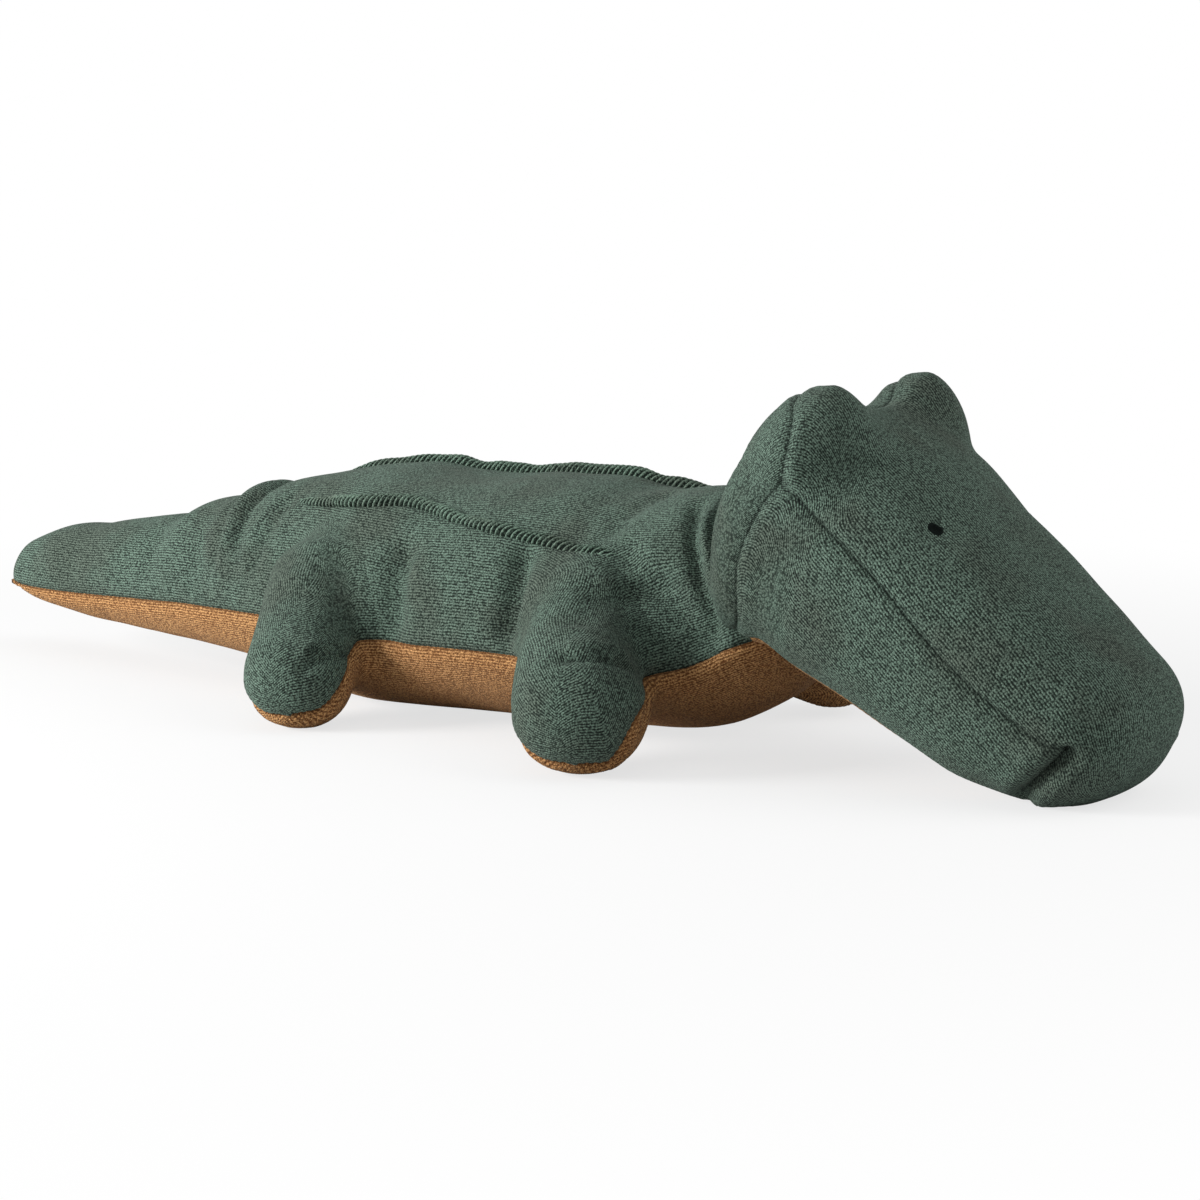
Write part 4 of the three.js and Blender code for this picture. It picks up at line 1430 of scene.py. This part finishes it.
    def build(self, dresser: Dresser) -> None:
        """Makes the head's panels and its eyes.

        Each seam is kept to its own stretch: the snout's two run from the gusset to the pinch, the chin's two
        end at the pinch, the gusset's ends at the chin, and the pinch crosses the cheeks alone.
        """
        place, angle = self.grid()
        skin = Skin(self.surface(place, angle), last_pole=True)
        edges = np.cumsum([0, *self.cells])
        rows = (self.gusset_cells, self.gusset_cells + self.face_cells)
        along, around = skin.along(), skin.across()
        past_gusset, past_pinch = (along - along[row] for row in rows)
        past_snout, past_chin = (from_top(angle) - angle[:, edge : edge + 1] for edge in edges[1:3])
        before_pinch = fade(-0.5, 2.5, past_pinch)
        cheek = smoothstep(-6.0, 0.0, past_snout) * fade(-26.0, -6.0, past_chin)
        seams = (
            (skin.across_from(0, edges[1]), along, smoothstep(-1.5, 0.5, past_gusset) * before_pinch),
            (skin.across_from(edges[2], edges[3]), along, before_pinch),
            (np.abs(past_gusset), around, fade(-1.0, 1.0, past_chin)),
            (np.abs(past_pinch), around, cheek),
        )
        relief = stuffing(skin.base, self.waves)
        for (gap, run, presence), strength in zip(seams, (1.0, 1.0, 1.0, self.pinch_pucker)):
            relief += strength * self.seam_style.relief(gap, run) * presence
        relief += self.pinch_relief(np.abs(past_pinch), past_snout) * cheek
        skin.raise_by(relief * smoothstep(0.0, 8.0, along) - self.eye_dimple(skin.base))
        centre = (around[:, :1] + around[:, edges[1] : edges[1] + 1]) / 2
        from_centre = np.abs(around - centre)
        weave = np.stack([along, np.minimum(from_centre, around[:, -1:] - from_centre)], axis=-1)
        self.cut(Mesher(skin, weave, self.stitches(seams)), edges, rows, dresser)
        for side in Side:
            Eye(self, skin, side).build(dresser)

    def pinch_relief(self, gap: Array, past_snout: Array) -> Array:
        """Fold of the pinch and the cushions behind and before it.

        Args:
            gap: distance from the pinch in millimetres.
            past_snout: degrees below the snout's seam; a little below it lies the deeper corner of the mouth.
        Returns:
            Heights in millimetres.
        """
        mouth = bell(past_snout - self.mouth_place, self.mouth_width)
        fold = (self.pinch_depth + self.mouth_depth * mouth) * bell(gap, self.pinch_width)
        height, apart, width = self.pinch_cushion
        return height * bell(gap - apart, width) - fold

    @staticmethod
    def stitches(seams: tuple[tuple[Array, Array, Array], ...]) -> Array:
        """Distance from the nearest seam and the place along it, for each point.

        Args:
            seams: distance, place along the seam and presence from 0 to 1 for each seam.
        Returns:
            Both numbers in millimetres; where a seam is absent it counts as far away.
        """
        gaps = np.stack([gap + NO_SEAM * (1.0 - presence) for gap, _, presence in seams])
        nearest = np.argmin(gaps, axis=0)[None]
        runs = np.stack([run for _, run, _ in seams])
        return np.stack([np.take_along_axis(part, nearest, axis=0)[0] for part in (gaps, runs)], axis=-1)

    def eye_place(self, side: Side) -> Pair:
        """Place of an eye along X and Y; the left one is stitched a little further out."""
        x, y = self.eyes
        return x, side.value * (y + (self.left_eye_shift if side is Side.LEFT else 0.0))

    def eye_dimple(self, points: Array) -> Array:
        """Depth of the hollow that the stitches of each eye pull into the cloth."""
        total = np.zeros(points.shape[:-1])
        for x, y in map(self.eye_place, Side):
            gap = np.hypot(points[..., 0] - x, points[..., 1] - y)
            total += sum(depth * bell(gap, width) for depth, width in self.eye_dimples)
        return total * (points[..., 2] > CROWN_FROM)

    def cut(self, mesher: Mesher, edges: Array, lines: tuple[int, int], dresser: Dresser) -> None:
        """Cuts the head's panels from the skin.

        Args:
            mesher: holds the finished skin and its maps.
            edges: the columns of the snout's and the chin's seams.
            lines: the rows of the gusset's seam and of the pinch.
            dresser: finishes the pieces.
        """
        row = np.arange(len(mesher.skin.points) - 1)[:, None]
        crown, left, chin, right = bands(edges)
        seam_row, pinch_row = lines
        face, nose = (row >= seam_row) & (row < pinch_row), row >= pinch_row
        panels = (
            ("head_gusset", (row < seam_row) & ~chin, ["head_back_gusset"]),
            ("crown", (face & crown) | nose, ["crown_panel", "head_filling"]),
            ("left_cheek", face & left, ["left_cheek_panel"]),
            ("right_cheek", face & right, ["right_cheek_panel"]),
            ("chin", (row < pinch_row) & chin, ["chin_panel"]),
        )
        for name, cells, nodes in panels:
            cloth = Cloth.TAN if name == "chin" else Cloth.GREEN
            dresser.dress(mesher.build(name, cells), cloth, self.carrier, nodes)


@dataclass
class Eye:
    """Small oval of satin stitches sewn on the crown."""

    head: Head
    skin: Skin
    side: Side
    half_length: float = 3.5
    half_width: float = 2.7
    roundness: float = 0.7
    height: float = 0.8
    depth: float = 1.0
    strand: float = 0.55
    ridge: float = 0.12
    towards: Triple = (0.9, 0.3, -0.45)
    rows: int = 26
    corners: int = 64

    def build(self, dresser: Dresser) -> None:
        """Makes a low dome over an oval, closed below, with fine ridges along the stitches.

        The oval lies on the head's top, its length forwards and down. The dome's height is the square root
        of 1 minus the square of the share of the oval's radius, and a cosine across the stitches adds ridges.
        """
        x, y = self.head.eye_place(self.side)
        gap = np.hypot(self.skin.points[..., 0] - x, self.skin.points[..., 1] - y)
        gap = np.where(self.skin.points[..., 2] < CROWN_FROM, np.inf, gap)
        row, column = np.unravel_index(np.argmin(gap), gap.shape)
        middle, outward = self.skin.points[row, column], self.skin.outward[row, column]
        towards = np.array(self.towards) * (1.0, -self.side.value, 1.0)
        forwards = unit(np.cross(np.cross(outward, towards), outward))
        across = np.cross(outward, forwards)
        share = np.concatenate([np.sin(np.linspace(0, np.pi / 2, self.rows)), np.linspace(1.0, 0.0, 6)[1:]])
        turn = np.linspace(0.0, 2 * np.pi, self.corners + 1)
        u, v = (
            share[:, None] * half * np.sign(part) * np.abs(part) ** self.roundness
            for half, part in ((self.half_length, np.cos(turn)), (self.half_width, np.sin(turn)))
        )
        top = (np.arange(len(share)) < self.rows)[:, None]
        dome = np.sqrt(np.maximum(1.0 - share**2, 0.0))[:, None]
        ridged = self.height * dome + self.ridge * np.cos(2 * np.pi * v / self.strand) * dome
        lift = np.where(top, ridged, -self.depth * (1.0 - share[:, None]))
        points = middle + u[..., None] * forwards + v[..., None] * across + lift[..., None] * outward
        skin = Skin(points, first_pole=True, last_pole=True)
        cells = np.ones((len(share) - 1, self.corners), bool)
        flat = np.stack([u, v], axis=-1)
        piece = Mesher(skin, flat, flat, 0.0).build(f"{self.side.word}_eye_stitches", cells)
        dresser.dress(piece, Cloth.THREAD, Carrier("head"), [f"{self.side.word}_eye"])


# Legs


@dataclass
class Leg:
    """Short leg that swells out of the flank into a round foot, with a tan sole.

    Root, foot and directions are given for the left side, in millimetres, and angles in degrees. The sole's
    line gives the share of the belly seam's height that the sole's seam keeps at a distance from the trunk.
    Over the first few millimetres from the trunk the leg's own seams begin, and then its own lumps.
    """

    name: str
    side: Side
    trunk: Trunk
    root: Triple
    foot: Triple
    root_radius: float
    foot_radius: float
    fillet: float = 15.0
    edge_sink: float = 0.5
    depth: float = 24.0
    far: float = 150.0
    rows: int = 112
    green_cells: int = 120
    tan_cells: int = 84
    sole_line: Curve = Curve(((0, 1.0), (4.5, 1.0), (12, 0.8), (22, 0.5), (34, 0.28), (50, 0.17)))
    rear_rise: float = 8.0
    rear_reach: float = 22.0
    front_rise: float = 9.0
    front_reach: Pair = (9.0, 26.0)
    inner_front: Triple = (0.78, -0.63, 0.0)
    pole_tilts: Pair = (15.0, 75.0)
    openings: Pair = (20.0, 150.0)
    seam_turns: Pair = (5.0, 175.0)
    seam_from: float = 6.0
    own_from: float = 20.0
    edge_from: float = 0.88
    pole_share: float = 0.06
    waves: tuple[Triple, ...] = ((0.8, 24.0, 41),)
    fill: float = 0.8
    bend_direction: Triple = (0.0, 0.83, -0.56)
    bend_reach: Pair = (31.0, 55.0)
    green_seam: SeamStyle = SeamStyle()
    tan_seam: SeamStyle = SeamStyle(pitch=2.8, pucker=0.6, reach=8.0, slant=1.2)

    @property
    def start(self) -> Array:
        """Middle of the root, inside the body."""
        return self.side.mirror(self.root)

    @property
    def tip(self) -> Array:
        """Middle of the foot."""
        return self.side.mirror(self.foot)

    def limb_distance(self, points: Array) -> Array:
        """Distance from points to a cone with round ends between the root and the foot."""
        axis = self.tip - self.start
        share = np.clip(((points - self.start) @ axis) / (axis @ axis), 0.0, 1.0)
        radius = self.root_radius + (self.foot_radius - self.root_radius) * share
        return np.linalg.norm(points - self.start - share[..., None] * axis, axis=-1) - radius

    def sole_height(self, points: Array) -> Array:
        """Height of the seam between green and tan.

        It is the belly seam's height at the body and less the further from it, and rises again to the rear
        and to the inner front of the foot.
        """
        share = self.sole_line(self.trunk.distance(points))
        ahead = (points - self.tip) @ unit(self.side.mirror(self.inner_front))
        behind = self.tip[0] - points[..., 0]
        rise = self.rear_rise * smoothstep(0.0, self.rear_reach, behind)
        rise = rise + self.front_rise * smoothstep(*self.front_reach, ahead)
        return self.trunk.seam(points[..., 0]) * share + rise * (1.0 - share)

    def seam_gap(self, points: Array, outward: Array) -> Array:
        """Distance to the sole's seam within the cloth's face.

        It is the height over the seam's line there, divided by how fast that height changes along the face.

        Args:
            points: places on the leg.
            outward: unit normals there.
        Returns:
            Distances in millimetres, negative below the seam.
        """
        step = 0.5 * np.eye(3)
        change = [self.sole_height(points + move) - self.sole_height(points - move) for move in step]
        slope = UP - np.stack(change, axis=-1)
        slope = slope - outward * np.sum(slope * outward, axis=-1, keepdims=True)
        steep = np.maximum(np.linalg.norm(slope, axis=-1), 0.4)
        return (points[..., 2] - self.sole_height(points)) / steep

    def cast(self, rays: Array, rise: Array) -> Array:
        """Points where rays leave the smooth union of the trunk and the limb.

        Args:
            rays: unit vectors.
            rise: share of the widest opening; rays start at the root's middle for 0 and deeper for 1.
        Returns:
            One point for each ray.
        """
        origin = self.start - np.square(rise)[..., None] * self.side.direction * self.depth

        def inside(length: Array) -> Array:
            """Positive inside the union."""
            points = origin + rays * length[..., None]
            return -smooth_union(self.trunk.distance(points), self.limb_distance(points), self.fillet)

        length = solve(inside, *span(rays[..., 0], 0.0, self.far), rounds=22)
        return origin + rays * length[..., None]

    def axes(self) -> tuple[Array, Array, Array]:
        """Direction of the grid's pole on the sole's seam, the one above it and the one to its front."""
        flat = unit((self.tip - self.start) * (1, 1, 0))

        def above(tilt: Array) -> Array:
            """Positive where the ray that points down by the tilt leaves above the seam."""
            points = self.cast(np.cos(tilt)[:, None] * flat + np.sin(tilt)[:, None] * DOWN, np.zeros(1))
            return points[..., 2] - self.sole_height(points)

        tilt = solve(above, *np.radians(self.pole_tilts)[:, None])[0]
        pole = math.cos(tilt) * flat + math.sin(tilt) * DOWN
        over = unit(UP - pole * pole[2])
        return pole, over, np.cross(pole, over) * self.side.value

    def grid(self) -> Array:
        """Points of the bare leg, in rows that leave the pole and columns that go round it.

        The rows are cones of rays round the pole, evenly spaced along the top of the leg. The last of them
        meets the trunk one fillet away from the limb. The first column and the one after the green cells lie
        on the sole's seam.
        """
        pole, over, front = self.axes()

        def rays(opening: Array, turn: Array) -> Array:
            """Rays at an opening from the pole and a turn from the top, both in degrees."""
            wide, round_ = np.radians(opening)[..., None], np.radians(turn)[..., None]
            return np.cos(wide) * pole + np.sin(wide) * (np.cos(round_) * over + np.sin(round_) * front)

        def clearance(opening: Array) -> Array:
            """Positive while the ray at each turn ends less than a fillet away from the limb."""
            return self.fillet - self.limb_distance(self.cast(rays(opening, turns), np.ones_like(turns)))

        turns = np.linspace(0.0, FULL_TURN, 181)
        widest = solve(clearance, *span(turns, *self.openings), rounds=18)
        fine = np.linspace(0.0, 1.0, 200)
        length = lengths(self.cast(rays(fine * widest[0], np.zeros_like(fine)), fine))
        level = np.interp(np.linspace(0.0, 1.0, self.rows) * length[-1], length, fine)

        def surface(turn: Array, rise: Array) -> Array:
            """Points at turns round the pole and shares of the widest opening there."""
            return self.cast(rays(rise * np.interp(turn % FULL_TURN, turns, widest), turn), rise)

        def above(turn: Array) -> Array:
            """Positive above the sole's seam."""
            points = surface(turn, level)
            return points[..., 2] - self.sole_height(points)

        ends = span(level, *self.seam_turns)
        front_turn = solve(above, *ends, rounds=20)
        rear_turn = -solve(lambda turn: above(-turn), *ends, rounds=20)
        front_turn[0], rear_turn[0] = front_turn[1], rear_turn[1]
        turn = ring([rear_turn, front_turn, FULL_TURN + rear_turn], [self.green_cells, self.tan_cells])
        return surface(turn, np.broadcast_to(level[:, None], turn.shape))

    def relief(self, skin: Skin) -> Array:
        """Height of the cloth over the bare leg.

        Near the trunk it is the trunk's own relief, so that the leg's cloth runs on into the flank's, and the
        leg's edge there sinks a little under that cloth.

        Args:
            skin: the bare leg.
        Returns:
            Heights in millimetres.
        """
        gap = self.seam_gap(skin.base, skin.outward)
        upper, lower = (style.relief(np.abs(gap), skin.along()) for style in (self.green_seam, self.tan_seam))
        away = self.trunk.distance(skin.base)
        parted, free = smoothstep(0.0, self.seam_from, away), smoothstep(0.0, self.own_from, away)
        beside = np.where(gap < 0, lower, upper) * parted
        beside += self.trunk.seam_relief(skin.base, skin.base[..., 0]) * (1.0 - parted)
        lumps = self.trunk.lumps(skin.base) * (1.0 - free) + stuffing(skin.base, self.waves) * free
        share = np.linspace(0.0, 1.0, self.rows)[:, None]
        sink = self.edge_sink * smoothstep(self.edge_from, 1.0, share)
        creases = self.trunk.creases(skin.base, skin.outward)
        return lumps + creases + beside * smoothstep(0.0, self.pole_share, share) - sink

    def build(self, dresser: Dresser) -> None:
        """Makes the leg's green panel and its tan sole."""
        skin = Skin(self.grid(), first_pole=True)
        skin.raise_by(self.relief(skin))
        seam_gap, along = skin.across_from(0, self.green_cells), skin.along()
        under = np.arange(seam_gap.shape[1]) > self.green_cells
        weave = np.stack([along, np.where(under, seam_gap, -seam_gap)], axis=-1)
        mesher = Mesher(skin, weave, np.stack([seam_gap, along], axis=-1))
        green, tan = (
            np.broadcast_to(part, (self.rows - 1, part.size))
            for part in bands(np.cumsum([0, self.green_cells, self.tan_cells]))
        )
        carrier = Carrier("body", self.name, *self.bend_places())
        nodes = [f"{self.name}_panel", f"{self.name}_filling"]
        dresser.dress(mesher.build(f"{self.name}_skin", green), Cloth.GREEN, carrier, nodes)
        nodes = [f"{self.name.replace('_leg', '')}_sole_panel"]
        dresser.dress(mesher.build(f"{self.name}_sole", tan), Cloth.TAN, carrier, nodes)

    def bend_places(self) -> tuple[Triple, Triple]:
        """Places for the start and the end of a bend off the body, in metres, which the carrier stores but no
        bend uses.
        """
        out = self.side.mirror(self.bend_direction)
        start, end = (tuple((out * reach * MM).tolist()) for reach in self.bend_reach)
        return start, end


# Floor, light and camera


@dataclass(frozen=True)
class Lamp:
    """Round soft lamp, placed by its angles in degrees as the camera sees it, with metres and watts."""

    name: str
    azimuth: float
    elevation: float
    distance: float
    size: float
    power: float


@dataclass(frozen=True)
class Studio:
    """Pale floor, white surroundings, the photograph's camera and low light from its left."""

    target: Triple = (0.0624, 0.0, 0.0543)
    distance: float = 1.203
    azimuth: float = 38.8
    elevation: float = 8.1
    lens: float = 84.0
    sensor: float = 36.0
    floor_size: float = 12.0
    floor_drop: float = 0.0004
    floor_grey: float = 0.82
    floor_white: float = 0.72
    floor_fade: Pair = (0.25, 0.75)
    ambient: float = 0.36
    lamps: tuple[Lamp, ...] = (
        Lamp("key", -75.0, 15.5, 1.45, 0.6, 30.2),
        Lamp("fill", 78.0, 38.0, 1.8, 1.6, 11.6),
        Lamp("top", 0.0, 82.0, 1.6, 1.6, 3.0),
    )

    def direction(self, azimuth: float, elevation: float) -> Vector:
        """Unit vector to a place seen from the toy, where azimuth 0 is the camera's own side."""
        turn, tilt = math.radians(self.azimuth + azimuth), math.radians(elevation)
        return Vector((math.sin(turn) * math.cos(tilt), -math.cos(turn) * math.cos(tilt), math.sin(tilt)))

    def build(self) -> None:
        """Makes the floor, the world, the lamps and the camera."""
        self.floor()
        self.world()
        for lamp in self.lamps:
            light = bpy.data.lights.new(lamp.name, "AREA")
            light.shape, light.size, light.energy = "DISK", lamp.size, lamp.power
            back = self.direction(lamp.azimuth, lamp.elevation)
            self.aim(add_object(lamp.name, light), back, lamp.distance)
        camera = add_object("camera", bpy.data.cameras.new("camera"))
        camera.data.lens, camera.data.sensor_width = self.lens, self.sensor
        self.aim(camera, self.direction(0.0, self.elevation), self.distance)
        bpy.context.scene.camera = camera
        bpy.context.scene.view_settings.view_transform = "Standard"

    def aim(self, holder: bpy.types.Object, back: Vector, distance: float) -> None:
        """Places a lamp or the camera in a direction from the toy and turns it to the toy."""
        holder.location = Vector(self.target) + back * distance
        holder.rotation_euler = back.to_track_quat("Z", "Y").to_euler()

    def floor(self) -> None:
        """Makes the floor, which the camera sees as partly plain white, and wholly so away from the toy."""
        half = self.floor_size / 2
        mesh = bpy.data.meshes.new("floor")
        corners = [(x * half, y * half, -self.floor_drop) for x, y in ((-1, -1), (1, -1), (1, 1), (-1, 1))]
        mesh.from_pydata(corners, [], [(0, 1, 2, 3)])
        material, nodes, output = new_material("Pale_Floor")
        path = nodes.add("ShaderNodeLightPath")
        white = nodes.add("ShaderNodeEmission", Color=(1, 1, 1, 1), Strength=1.0)
        matt = nodes.add("ShaderNodeBsdfDiffuse", Color=(*[self.floor_grey] * 3, 1))
        place = nodes.object_place()
        reach = nodes.add("ShaderNodeVectorMath", {"operation": "LENGTH"}, Vector=place).outputs["Value"]
        share = nodes.math("MULTIPLY", nodes.spread(reach, *self.floor_fade), 1.0 - self.floor_white)
        share = nodes.math("ADD", share, self.floor_white)
        factor = nodes.math("MULTIPLY", path.outputs["Is Camera Ray"], share)
        blend = nodes.add("ShaderNodeMixShader")
        for socket, value in zip(blend.inputs, (factor, matt.outputs[0], white.outputs[0])):
            nodes.join(socket, value)
        nodes.join(output.inputs["Surface"], blend.outputs[0])
        mesh.materials.append(material)
        floor = add_object("floor", mesh)

    def world(self) -> None:
        """Makes the surroundings: white where they are seen, and a dimmer white as light."""
        world = bpy.data.worlds.new("Studio")
        world.use_nodes = True
        world.node_tree.nodes.clear()
        nodes = Nodes(world.node_tree)
        path = nodes.add("ShaderNodeLightPath")
        seen = nodes.math("MAXIMUM", path.outputs["Is Camera Ray"], path.outputs["Is Glossy Ray"])
        seen = nodes.math("MAXIMUM", seen, path.outputs["Is Transmission Ray"])
        strength = nodes.math("ADD", nodes.math("MULTIPLY", seen, 1.0 - self.ambient), self.ambient)
        background = nodes.add("ShaderNodeBackground", Color=(1, 1, 1, 1), Strength=strength)
        output = nodes.add("ShaderNodeOutputWorld")
        nodes.join(output.inputs["Surface"], background.outputs[0])
        bpy.context.scene.world = world


def make_legs(trunk: Trunk) -> list[Leg]:
    """The four legs, two in front and two behind; the left front one is splayed a little more."""
    legs = []
    for side, foot, radius in ((Side.RIGHT, (119.5, 83, 27), 28), (Side.LEFT, (122, 90, 27.5), 25.5)):
        front, rear = f"{side.word}_front_leg", f"{side.word}_rear_leg"
        legs.append(Leg(front, side, trunk, (96, 46, 51), foot, 28, radius, front_rise=22.0))
        legs.append(Leg(rear, side, trunk, (-58, 46, 51), (-36.5, 83, 23), 25, 24))
    return legs


def main() -> None:
    """Builds the toy and its studio in order."""
    logging.basicConfig(level=logging.INFO, format="%(name)s: %(message)s")
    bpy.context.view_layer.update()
    Studio().build()
    dresser = Dresser(Wardrobe().materials())
    trunk = Trunk()
    trunk.build(dresser)
    Head().build(dresser)
    for leg in make_legs(trunk):
        leg.build(dresser)


if __name__ == "__main__":
    main()
